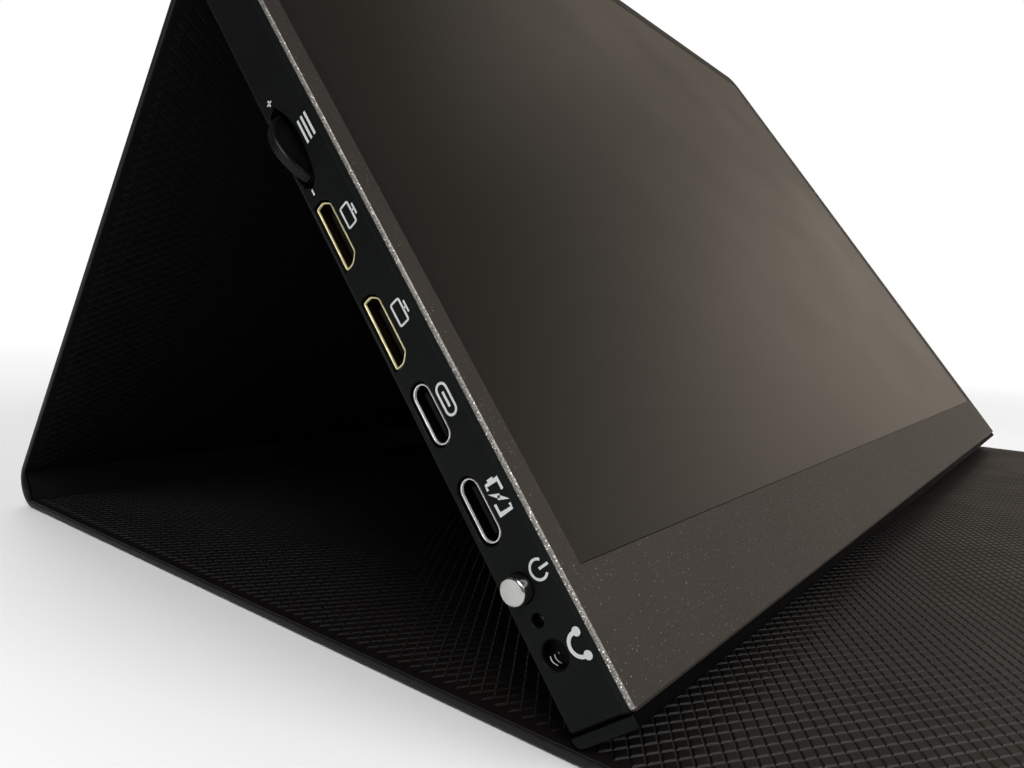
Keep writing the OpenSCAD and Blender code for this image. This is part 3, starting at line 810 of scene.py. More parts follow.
class Solid:
    """Gathers lofted shapes in a local frame's millimetres into one piece."""

    def __init__(self, axes: Axes) -> None:
        """Starts an empty solid.

        Args:
            axes: the local frame that all its points are given in.
        """
        self.axes = axes
        self.bm = bmesh.new()

    def loft(self, rings: Sequence[Sequence[tuple]], slots: Sequence[int] | None = None,
             caps: bool = True) -> None:
        """Joins closed rings of as many points into a skin.

        Args:
            rings: the rings in order, each of 3D points.
            slots: a material slot for each step between rings, or None for the first.
            caps: whether the first and last ring are closed by a face.
        """
        bm = bmesh.new()
        rows = [[bm.verts.new(p) for p in ring] for ring in rings]
        for i, (low, high) in enumerate(zip(rows, rows[1:])):
            for k in range(len(low)):
                following = (k + 1) % len(low)
                face = bm.faces.new((low[k], low[following], high[following], high[k]))
                face.material_index = slots[i] if slots else 0
        if caps:
            for row in (rows[0], rows[-1]):
                bm.faces.new(row)
        bmesh.ops.remove_doubles(bm, verts=bm.verts, dist=JOIN_DISTANCE)
        bmesh.ops.recalc_face_normals(bm, faces=bm.faces)
        mesh = bpy.data.meshes.new("part")
        bm.to_mesh(mesh)
        bm.free()
        self.bm.from_mesh(mesh)
        bpy.data.meshes.remove(mesh)

    def stack(self, outline: Outline, rings: Profile, slots: Sequence[int] | None = None) -> None:
        """Joins insets of one outline.

        Args:
            outline: the outline.
            rings: inset and height of each ring.
            slots: a material slot for each step between rings, or None for the first.
        """
        self.loft([[(*p, z) for p in inset(outline, d)] for d, z in rings], slots)

    def slab(self, outline: Outline, low: float, high: float, high_r: float = 0,
             hold: float = 0.25, steps: int = 4) -> None:
        """A slab of an outline between two heights, with a rounded high edge."""
        profile = edge_profile(high - low, 0, high_r, hold, steps)
        self.stack(outline, [(d, low + z) for d, z in profile])

    def cup(self, outline: Outline, low: float, high: float, wall: float, lip: float) -> None:
        """A cup with a closed low end, a wall and a rounded lip; slot 1 is the deep part of its inside,
        for a darker finish of painted shade.
        """
        foot, middle = 0.12, wall / 2
        rings = [(foot, low), (0, low + foot)]
        for k in range(7):
            t = math.pi * k / 6
            rings.append((middle - middle * math.cos(t), high - lip + lip * math.sin(t)))
        rings += [(wall, high - 3 * lip), (wall, low + wall)]
        self.stack(outline, rings, [0] * (len(rings) - 2) + [1])

    def turned(self, x: float, y: float, profile: Profile, steps: int = 64,
               ripple: Callable[[float], float] | None = None) -> None:
        """A turned shape about an axis along out.

        Args:
            x: the axis's x.
            y: the axis's y.
            profile: radius and height of each ring.
            steps: chords around.
            ripple: extra radius at an angle, for rings whose radius is the widest.
        """
        widest = max(r for r, _ in profile)
        rings = []
        for r, z in profile:
            ring = []
            for k in range(steps):
                t = 2 * math.pi * k / steps
                reach = r + (ripple(t) if ripple and r > widest - 0.05 else 0)
                ring.append((x + reach * math.cos(t), y + reach * math.sin(t), z))
            rings.append(ring)
        self.loft(rings)

    def holes(self, cutter: "Solid") -> None:
        """Cuts another solid out of this one."""
        made, tool = self.raw("made"), cutter.raw("tool")
        change = made.modifiers.new("cut", "BOOLEAN")
        change.object = tool
        change.solver = "EXACT"
        change.use_self = True
        mesh = modified(made)
        self.bm = bmesh.new()
        self.bm.from_mesh(mesh)
        for old in (made, tool):
            bpy.data.objects.remove(old)
        bpy.data.meshes.remove(mesh)

    def raw(self, name: str) -> Object:
        """A plain object of the solid in millimetres, linked to the scene."""
        mesh = bpy.data.meshes.new(name)
        self.bm.to_mesh(mesh)
        self.bm.free()
        thing = linked(name, mesh)
        bpy.context.view_layer.update()
        return thing

    def piece(self, name: str, *finishes: Material, sharp: float = 32) -> Object:
        """Ends the solid as a piece in the product's frame.

        Args:
            name: name of the piece.
            finishes: its material slots.
            sharp: angle in degrees over which an edge stays sharp.

        Returns:
            The new object, at the origin.
        """
        self.bm.transform(self.axes.matrix())
        return dressed(self.raw(name), finishes, sharp)


def dressed(thing: Object, finishes: Sequence[Material], sharp: float) -> Object:
    """Gives an object its materials and smooth shading.

    Args:
        thing: a mesh object.
        finishes: its material slots.
        sharp: angle in degrees over which an edge stays sharp.

    Returns:
        The same object.
    """
    mesh = thing.data
    for finish in finishes:
        mesh.materials.append(finish)
    mesh.polygons.foreach_set("use_smooth", [True] * len(mesh.polygons))
    mesh.set_sharp_from_angle(angle=math.radians(sharp))
    return thing


def named(thing: Object, slot: str, *nodes: str) -> None:
    """Hides the nodes that a piece replaces and logs its faces.

    Args:
        thing: the piece.
        slot: the record's material slot; not used.
        nodes: the nodes that it replaces.
    """
    if nodes:
        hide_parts(*nodes)
    LOG.info("%s: %d faces", thing.name, len(thing.data.polygons))


def placed(thing: Object, body: Body, slot: str, *nodes: str) -> None:
    """Seats a piece on the body that it moves with and hides the nodes that it replaces."""
    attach(thing, body.value)
    named(thing, slot, *nodes)


def bent(thing: Object, start: Body, end: Body, ends: tuple[Vector, Vector], slot: str,
         *nodes: str) -> None:
    """Lets a piece bend between two bodies and says what it stands for.

    Args:
        thing: the piece.
        start: not used.
        end: not used.
        ends: not used.
        slot: the record's material slot; not used.
        nodes: the nodes that it replaces.
    """
    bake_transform(thing)
    named(thing, slot, *nodes)


# Geometry Nodes


class Scatter:
    """A tree that sets a small shape on each point of a mesh."""

    def __init__(self) -> None:
        """Builds the tree with its named inputs."""
        self.tree = bpy.data.node_groups.new("scatter", "GeometryNodeTree")
        sockets = self.tree.interface
        sockets.new_socket("Points", in_out="INPUT", socket_type="NodeSocketGeometry")
        shape = sockets.new_socket("Shape", in_out="INPUT", socket_type="NodeSocketObject")
        self.shape = shape.identifier
        sockets.new_socket("Result", in_out="OUTPUT", socket_type="NodeSocketGeometry")
        new, link = self.tree.nodes.new, self.tree.links.new
        given, result = new("NodeGroupInput"), new("NodeGroupOutput")
        points, copied = new("GeometryNodeMeshToPoints"), new("GeometryNodeObjectInfo")
        setting, whole = new("GeometryNodeInstanceOnPoints"), new("GeometryNodeRealizeInstances")
        link(given.outputs["Points"], points.inputs["Mesh"])
        link(points.outputs["Points"], setting.inputs["Points"])
        link(given.outputs["Shape"], copied.inputs["Object"])
        link(copied.outputs["Geometry"], setting.inputs["Instance"])
        link(setting.outputs["Instances"], whole.inputs["Geometry"])
        link(whole.outputs["Geometry"], result.inputs["Result"])

    def mesh(self, points: Sequence[tuple], shape: Solid) -> Mesh:
        """Sets a shape on points and returns the plain mesh.

        Args:
            points: where the copies stand, in the shape's millimetres.
            shape: what is copied, drawn about its own origin.

        Returns:
            One mesh of all the copies.
        """
        copied = shape.raw("copied")
        base = bpy.data.meshes.new("points")
        base.from_pydata(points, [], [])
        holder = linked("holder", base)
        change = holder.modifiers.new("scatter", "NODES")
        change.node_group = self.tree
        change[self.shape] = copied
        bpy.context.view_layer.update()
        mesh = modified(holder)
        for old in (holder, copied):
            bpy.data.objects.remove(old)
        return mesh


SCATTER = Scatter()


# Cover


@dataclass
class FoldPath:
    """The line of a cover's outer face, seen from its end: straight, round, straight."""

    start: tuple[float, float]
    heading: float
    first: float
    radius: float
    turn: float
    last: float

    @property
    def bend(self) -> float:
        """Length of the round stretch."""
        return abs(self.radius * self.turn)

    @property
    def length(self) -> float:
        """Length of the whole line."""
        return self.first + self.bend + self.last

    def map(self, points: np.ndarray) -> np.ndarray:
        """Rolls flat points up along the line.

        Args:
            points: rows of x, distance along the line and height inside the outer face.

        Returns:
            Rows of x, y and z, in the same millimetres.
        """
        x, s, h = points.T
        curl = self.turn / self.bend
        around = np.clip(s - self.first, 0, self.bend)
        angle = self.heading + curl * around
        y = self.start[0] + np.minimum(s, self.first) * math.cos(self.heading)
        z = self.start[1] + np.minimum(s, self.first) * math.sin(self.heading)
        y += (np.sin(angle) - math.sin(self.heading)) / curl
        z -= (np.cos(angle) - math.cos(self.heading)) / curl
        past = np.maximum(s - self.first - self.bend, 0)
        y += past * np.cos(angle) - h * np.sin(angle)
        z += past * np.sin(angle) + h * np.cos(angle)
        return np.stack([x, y, z], 1)

    def point(self, s: float, h: float) -> Vector:
        """A point on the middle of the cover, in metres."""
        return Vector(self.map(np.array([[0.0, s, h]]))[0]) * MM

    def ends(self, h: float) -> tuple[Vector, Vector]:
        """Both ends of the round stretch at a height, in metres."""
        return self.point(self.first, h), self.point(self.first + self.bend, h)


@dataclass
class Sheet:
    """A closed layer of the cover, drawn on the unrolled cover and rolled up along its line.

    The profile gives inset and height inside the outer face for each ring. The low and
    high faces are ladders of strips, so that they can bend.
    """

    path: FoldPath
    start: float
    end: float
    start_r: float
    end_r: float
    thin: Callable[[np.ndarray, np.ndarray], np.ndarray] | None = None
    corner_steps: int = 8
    bend_steps: int = 28
    strips: int = 12
    margin: float = 8
    least_r: float = 0.05

    def stations(self, d: float) -> list[tuple[float, float]]:
        """Distance along and half width at each station of an outline.

        Args:
            d: inset of the outline.

        Returns:
            As many stations at each inset.
        """
        half, steps = COVER_W / 2 - d, self.corner_steps
        low_r, high_r = max(self.start_r - d, self.least_r), max(self.end_r - d, self.least_r)
        s0, s1 = self.start + d, self.end - d
        near = [(s0 + low_r + y, half - low_r + x) for x, y in arc(0, 0, low_r, -90, 0, steps)]
        far = [(s1 - high_r + y, half - high_r + x) for x, y in arc(0, 0, high_r, 0, 90, steps)]
        marks = [self.path.first + self.path.bend * k / self.bend_steps
                 for k in range(self.bend_steps + 1)]
        marks += [self.start + (self.end - self.start) * k / self.strips for k in range(1, self.strips)]
        middle = sorted(m for m in marks if self.start + self.margin < m < self.end - self.margin)
        return near + [(m, half) for m in middle] + far

    def build(self, profile: Profile) -> BMesh:
        """Builds the layer on the unrolled cover.

        Args:
            profile: inset and height of each ring, in order, of one closed side.

        Returns:
            The flat shape, in millimetres.
        """
        bm = bmesh.new()
        rings = []
        for d, h in profile:
            stations = self.stations(d)
            left = [bm.verts.new((-w, s, h)) for s, w in stations]
            right = [bm.verts.new((w, s, h)) for s, w in stations]
            rings.append((left, right))
        for (left, right), (left_2, right_2) in zip(rings, rings[1:]):
            loop, loop_2 = left + right[::-1], left_2 + right_2[::-1]
            for k in range(len(loop)):
                following = (k + 1) % len(loop)
                bm.faces.new((loop[k], loop[following], loop_2[following], loop_2[k]))
        for left, right in (rings[0], rings[-1]):
            for k in range(len(left) - 1):
                bm.faces.new((left[k], left[k + 1], right[k + 1], right[k]))
        bmesh.ops.remove_doubles(bm, verts=bm.verts, dist=JOIN_DISTANCE)
        bmesh.ops.recalc_face_normals(bm, faces=bm.faces)
        return bm

    def piece(self, name: str, finish: Material, profile: Profile | None = None,
              extra: Mesh | None = None, sharp: float = 32) -> Object:
        """Rolls the layer up into a piece that keeps its flat place as an attribute.

        Args:
            name: name of the piece.
            finish: its material.
            profile: the layer's rings, or None for the other mesh alone.
            extra: another flat mesh that joins it.
            sharp: angle in degrees over which an edge stays sharp.

        Returns:
            The piece, in the product's frame.
        """
        bm = self.build(profile) if profile else bmesh.new()
        if extra is not None:
            bm.from_mesh(extra)
            bpy.data.meshes.remove(extra)
        mesh = bpy.data.meshes.new(name)
        bm.to_mesh(mesh)
        bm.free()
        flat = np.zeros(len(mesh.vertices) * 3)
        mesh.vertices.foreach_get("co", flat)
        mesh.attributes.new(SHEET, "FLOAT_VECTOR", "POINT").data.foreach_set("vector", flat)
        points = flat.reshape(-1, 3)
        if self.thin:
            points[:, 2] = self.thin(points[:, 1], points[:, 2])
        mesh.vertices.foreach_set("co", (self.path.map(points) * MM).ravel())
        mesh.update()
        return dressed(linked(name, mesh), [finish], sharp)


@dataclass(frozen=True)
class Embossing:
    """The lining's pattern of raised diamonds, pressed on a lattice."""

    wide: float = 3.5
    long: float = 2.17
    groove: float = 0.12
    height: float = 0.17
    slope: float = 0.34
    slope_w: float = 1.3
    slope_l: float = 0.8

    def diamond(self) -> Solid:
        """One closed diamond with a flat top, about its own foot."""
        rings = []
        for inward, z in ((0.0, 0.0), (self.slope, self.height)):
            half_w = (self.wide - self.groove) / 2 - inward * self.slope_w
            half_l = (self.long - self.groove * self.long / self.wide) / 2 - inward * self.slope_l
            rings.append([(half_w, 0, z), (0, half_l, z), (-half_w, 0, z), (0, -half_l, z)])
        shape = Solid(MONITOR)
        shape.loft(rings)
        return shape

    def lattice(self, low: float, high: float, half: float, corner: float,
                height: float) -> list[tuple]:
        """Centres of the diamonds between two distances along the cover.

        Args:
            low: first distance.
            high: last distance.
            half: half width of the field.
            corner: radius of the field's corners at distance 0, or 0.
            height: height of the diamonds' feet.

        Returns:
            The points.
        """
        points = []
        count = int(half / self.wide) + 1
        for row in range(int(low / self.long * 2), int(high / self.long * 2) + 2):
            s = row * self.long / 2
            shift = (row % 2) * self.wide / 2
            for column in range(-count, count + 1):
                x = column * self.wide + shift
                reach_x, reach_s = abs(x) + self.wide / 2, self.long / 2
                if reach_x > half or not low <= s - reach_s or s + reach_s > high:
                    continue
                over_x, over_s = reach_x - (half - corner), corner - (s - reach_s)
                if corner and over_x > 0 and over_s > 0 and math.hypot(over_x, over_s) > corner:
                    continue
                points.append((x, s, height))
        return points


@dataclass
class Cover:
    """The folding cover: its skins, its embossed linings and its boards."""

    ridge_r: float = 1.25
    plain_r: float = 0.3
    cut_r: float = 0.05
    overlap: float = 0.3
    border: float = 0.35
    pressed_w: float = 1.6
    pressed_share: float = 0.4
    fold_gap: float = 1.2
    emboss: Embossing = Embossing()

    def __post_init__(self) -> None:
        """Reads the folds' places from the frame."""
        flap_low, flap_high = (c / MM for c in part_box("flap_skin"))
        self.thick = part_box("flap_lining")[1].z / MM
        self.skin = (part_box("flap_board")[0].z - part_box("flap_skin")[0].z) / MM
        self.lining = self.thick - flap_high.z
        panel_out = broad_normal("back_panel_board")
        turn = math.pi - math.atan2(panel_out.y, panel_out.z)
        low, high = Axes(Vector(), X, panel_out.cross(X)).span("back_panel_skin")
        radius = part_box("spine")[1].y / MM - flap_high.y
        self.flap_l = flap_high.y - flap_low.y
        last = high.y - low.y + self.overlap
        self.lower = FoldPath((flap_low.y, 0), 0, self.flap_l, radius, turn, last)
        self.upper = self.upper_path(turn)
        self.skin_finish = SKIN.material()
        self.lining_finish = LINING.material()
        self.inner_shade_finish = LINING_SHADE.material()

    def upper_path(self, heading: float) -> FoldPath:
        """Line of the outer face over the upper fold.

        Args:
            heading: direction of the back panel, seen from the cover's end.

        Returns:
            The line, from the lower skin's end to the upper panel's end.
        """
        hinge = next(j for j in frame["joints"] if j["name"] == "upper_fold")
        fold = Vector(hinge["pos_m"]) / MM
        turn = math.atan2(MONITOR.up.z, MONITOR.up.y) - heading
        tangent = (self.ridge_r + self.thick / 2) * math.tan(abs(turn) / 2)
        edge = self.lower.point(self.lower.length, 0) / MM
        along = Vector((0, math.cos(heading), math.sin(heading)))
        first = along.dot(fold - edge) - tangent
        top = Axes(Vector(), X, MONITOR.up).span("upper_panel_skin")[1].y
        last = top - MONITOR.up.dot(fold) - tangent
        return FoldPath((edge.y, edge.z), heading, first, self.ridge_r, turn, last)

    def skin_profile(self) -> Profile:
        """Rings of a skin: its outer face, its edge and its hem turned in over the board."""
        top = self.thick - self.lining
        return [
            (0.9, 0), (0.42, 0), (0.28, 0.03), (0.13, 0.12), (0.03, 0.28), (0, 0.45),
            (0, top - 0.35), (0.05, top - 0.16), (0.16, top - 0.05), (0.34, top),
            (1.5, top), (1.6, top - 0.1), (1.6, self.skin + 0.01), (1.75, self.skin),
        ]

    def lining_profile(self) -> Profile:
        """Rings of a lining's ground sheet, between the skin's hem and the diamonds."""
        foot = self.thick - self.emboss.height
        low = self.thick - self.lining
        return [
            (0.9, low), (0.3, low), (0.12, low + 0.05), (0.05, low + 0.14),
            (0.12, foot - 0.02), (0.3, foot), (0.9, foot),
        ]

    def plain_profile(self) -> Profile:
        """Rings of a lining without diamonds."""
        foot = self.thick - self.emboss.height
        top = foot + self.emboss.height
        return self.lining_profile()[:-3] + [
            (0.05, top - 0.12), (0.14, top - 0.03), (0.35, top), (0.9, top),
        ]

    def build(self) -> None:
        """Builds the cover's pieces and gives the boards and magnets their finish."""
        self.build_skins()
        self.build_linings()
        self.build_upper_linings()
        board, magnet = FIBRE_BOARD.material(), MAGNET.material(MONITOR)
        for node in ("flap_board", "back_panel_board", "upper_panel_board"):
            refinish(node, board)
        for node in ("flap_magnets", "upper_panel_magnets"):
            refinish(node, magnet)

    def build_skins(self) -> None:
        """Builds the skin of flap, spine and back panel, and the one of the upper fold."""
        half, profile = self.thick / 2, self.skin_profile()
        lower = Sheet(self.lower, 0, self.lower.length, HIGH_CORNER_R, self.plain_r)
        bent(lower.piece("cover_skin", self.skin_finish, profile), Body.FLAP, Body.BACK_PANEL,
             self.lower.ends(half), "cover_skin", "flap_skin", "spine", "back_panel_skin")
        upper = Sheet(self.upper, 0, self.upper.length, self.plain_r, HIGH_CORNER_R, self.crease)
        bent(upper.piece("upper_skin", self.skin_finish, profile), Body.BACK_PANEL, Body.MONITOR,
             self.upper.ends(half), "cover_skin", "upper_crease", "upper_panel_skin")

    def crease(self, s: np.ndarray, h: np.ndarray) -> np.ndarray:
        """Presses the layers together at the upper fold, where no board lies.

        Args:
            s: distance along the upper line.
            h: height inside the outer face.

        Returns:
            The pressed height.
        """
        middle = self.upper.first + self.upper.bend / 2
        away = np.abs(s - middle) - self.upper.bend / 2
        share = np.clip(1 - away / self.pressed_w, 0, 1)
        share = share * share * (3 - 2 * share)
        return self.thick / 2 + (h - self.thick / 2) * (1 - self.pressed_share * share)

    def lining_piece(self, name: str, start: float, end: float, points: Sequence[tuple],
                     ground: bool = True) -> Object:
        """Builds one stretch of the embossed lining.

        Args:
            name: name of the piece.
            start: distance along the lower line at which it starts.
            end: distance at which it ends.
            points: centres of its diamonds.
            ground: whether it has the sheet under the diamonds.

        Returns:
            The piece.
        """
        on_flap = start == 0
        sheet = Sheet(self.lower, start, end, HIGH_CORNER_R if on_flap else self.cut_r, self.cut_r)
        diamonds = SCATTER.mesh(points, self.emboss.diamond())
        # The spine and back panel take the darker copy of the lining: painted shade.
        finish = self.lining_finish if on_flap else self.inner_shade_finish
        profile = self.lining_profile() if ground else None
        return sheet.piece(name, finish, profile, diamonds, 20)

    def build_linings(self) -> None:
        """Builds the embossed linings of flap, spine and back panel."""
        foot = self.thick - self.emboss.height
        flap_l, total = self.flap_l, self.lower.length
        bend_end = flap_l + self.lower.bend
        half = COVER_W / 2 - self.border
        field = self.emboss.lattice
        front = field(self.border, flap_l / 2 + self.emboss.long / 2, half, HIGH_CORNER_R, foot)
        taken = set(front)
        rear = [p for p in field(self.border, flap_l, half, HIGH_CORNER_R, foot) if p not in taken]
        piece = self.lining_piece("flap_lining_front", 0, flap_l, front, ground=False)
        placed(piece, Body.FLAP, "cover_lining", "flap_lining")
        piece = self.lining_piece("flap_lining_rear", 0, flap_l, rear)
        placed(piece, Body.FLAP, "cover_lining", "flap_lining")
        curl = field(flap_l, bend_end, half, 0, foot)
        piece = self.lining_piece("spine_lining", flap_l, bend_end, curl)
        bent(piece, Body.FLAP, Body.BACK_PANEL, self.lower.ends(self.thick - self.lining / 2),
             "cover_lining", "spine")
        panel = field(bend_end, total - self.border, half, 0, foot)
        piece = self.lining_piece("back_panel_lining_dress", bend_end, total, panel)
        placed(piece, Body.BACK_PANEL, "cover_lining", "back_panel_lining")

    def build_upper_linings(self) -> None:
        """Builds the smooth linings over the upper fold and behind the monitor."""
        split, flat = self.upper.first + self.upper.bend + self.fold_gap, self.plain_profile()
        panel = Sheet(self.upper, split, self.upper.length, self.plain_r, HIGH_CORNER_R)
        piece = panel.piece("upper_panel_lining_dress", self.lining_finish, flat)
        placed(piece, Body.MONITOR, "cover_lining", "upper_panel_lining")
        strip = Sheet(self.upper, self.cut_r, split, self.cut_r, self.cut_r, self.crease)
        piece = strip.piece("upper_fold_lining", self.lining_finish, flat)
        bent(piece, Body.BACK_PANEL, Body.MONITOR, self.upper.ends(self.thick / 2), "cover_lining")


def refinish(node: str, finish: Material) -> None:
    """Gives a node of the frame another finish."""
    materials = frame["nodes"][node].data.materials
    materials.clear()
    materials.append(finish)


# Monitor


@dataclass(frozen=True)
class Openings:
    """Clearances of the openings in the casing's left wall."""

    gap: float = 0.3
    chamfer: float = 0.14
    jack_r: float = 1.92
    light_r: float = 0.9
    wheel_gap: float = 0.35
    wheel_end: float = 0.9
    leaf_shift: float = 0.5
    leaf_drop: float = 0.1
    leaf_half_l: float = 8.0
    leaf_half_w: float = 2.2
    leaf_depth: float = 1.1


class SideLayout:
    """Where the nodes on the left wall lie, in the wall's frame."""

    def __init__(self) -> None:
        """Starts without any measured node."""
        self.known: dict[str, tuple[Vector, Vector]] = {}

    def span(self, node: str) -> tuple[Vector, Vector]:
        """Lowest and highest corner of a node."""
        if node not in self.known:
            self.known[node] = WALL.span(node)
        return self.known[node]

    def centre(self, node: str) -> tuple[float, float]:
        """Middle of a node on the wall, as depth and height along the monitor."""
        low, high = self.span(node)
        return (low.x + high.x) / 2, (low.y + high.y) / 2

    def size(self, node: str) -> tuple[float, float]:
        """Width and height of a node on the wall."""
        low, high = self.span(node)
        return high.x - low.x, high.y - low.y


@dataclass
class SideSocket:
    """A socket in the left wall: a thin shell with a tongue of contacts."""

    number: int
    layout: SideLayout
    kind: str = ""
    slot: str = ""
    contacts: int = 0
    pitch: float = 0.5
    lip: float = 0.12
    wall: float = 0.24
    contact_t: float = 0.04
    contact_w: float = 0.22
    contact_l: float = 4.4
    contact_inset: float = 2.7

    @property
    def node(self) -> str:
        """The shell's node."""
        return f"{self.kind}_shell_{self.number}"

    def outline(self, margin: float = 0) -> Outline:
        """Outline of the shell, drawn out by a margin."""
        raise NotImplementedError

    def build(self, *finishes: Material) -> None:
        """Builds shell and tongue.

        Args:
            finishes: of the shell, of the inside of it (a darker copy of the shell's metal, painted
                shade), of the tongue and of its contacts.
        """
        metal, inside, plastic, contact = finishes
        low, high = self.layout.span(self.node)
        shell = Solid(WALL)
        shell.cup(self.outline(), low.z, high.z, self.wall, self.lip)
        placed(shell.piece(self.node + "_dress", metal, inside), Body.MONITOR, self.slot, self.node)
        self.build_tongue(plastic, contact)

    def build_tongue(self, plastic: Material, contact: Material) -> None:
        """Builds the tongue with a row of contacts on both sides.

        Args:
            plastic: finish of the tongue.
            contact: finish of the contacts.
        """
        node = f"{self.kind}_tongue_{self.number}"
        low, high = self.layout.span(node)
        shape = Solid(WALL)
        shape.slab(rounded_box(low, high, 0.15, steps=3), low.z, high.z, 0.12, hold=0.05)
        half_t, half_w, half_l = self.contact_t / 2, self.contact_w / 2, self.contact_l / 2
        bar = Solid(WALL)
        bar.slab(rounded_box((-half_t, -half_w), (half_t, half_w), 0.008, steps=1), -half_l, half_l,
                 0.02, hold=0.003, steps=1)
        middle_y, middle_z = (low.y + high.y) / 2, high.z - self.contact_inset
        places = [middle_y + (i - (self.contacts - 1) / 2) * self.pitch for i in range(self.contacts)]
        bars = SCATTER.mesh([(x, y, middle_z) for x in (low.x, high.x) for y in places], bar)
        for face in bars.polygons:
            face.material_index = 1
        shape.bm.from_mesh(bars)
        placed(shape.piece(node + "_dress", plastic, contact), Body.MONITOR, "tongue", node)


@dataclass
class VideoSocket(SideSocket):
    """A small video socket with a folded gold shell."""

    kind: str = "hdmi"
    slot: str = "gold_shell"
    contacts: int = 10
    pitch: float = 0.75
    narrow: float = 8.9
    straight: float = 1.7
    corner: float = 0.45

    def outline(self, margin: float = 0) -> Outline:
        """Outline of the shell, its wide side to the rear, drawn out by a margin."""
        x, y = self.layout.centre(self.node)
        w, h = self.layout.size(self.node)
        low, half = x - w / 2, h / 2
        corners = [
            (low, y - half), (low + self.straight, y - half), (low + w, y - self.narrow / 2),
            (low + w, y + self.narrow / 2), (low + self.straight, y + half), (low, y + half),
        ]
        return inset(softened(corners, self.corner), -margin)


@dataclass
class DataSocket(SideSocket):
    """A small data socket with a drawn steel shell."""

    kind: str = "usb_c"
    slot: str = "steel_shell"
    contacts: int = 12
    lip: float = 0.14

    def outline(self, margin: float = 0) -> Outline:
        """Outline of the shell, drawn out by a margin."""
        w, h = self.layout.size(self.node)
        return stadium(*self.layout.centre(self.node), w + 2 * margin, h + 2 * margin)


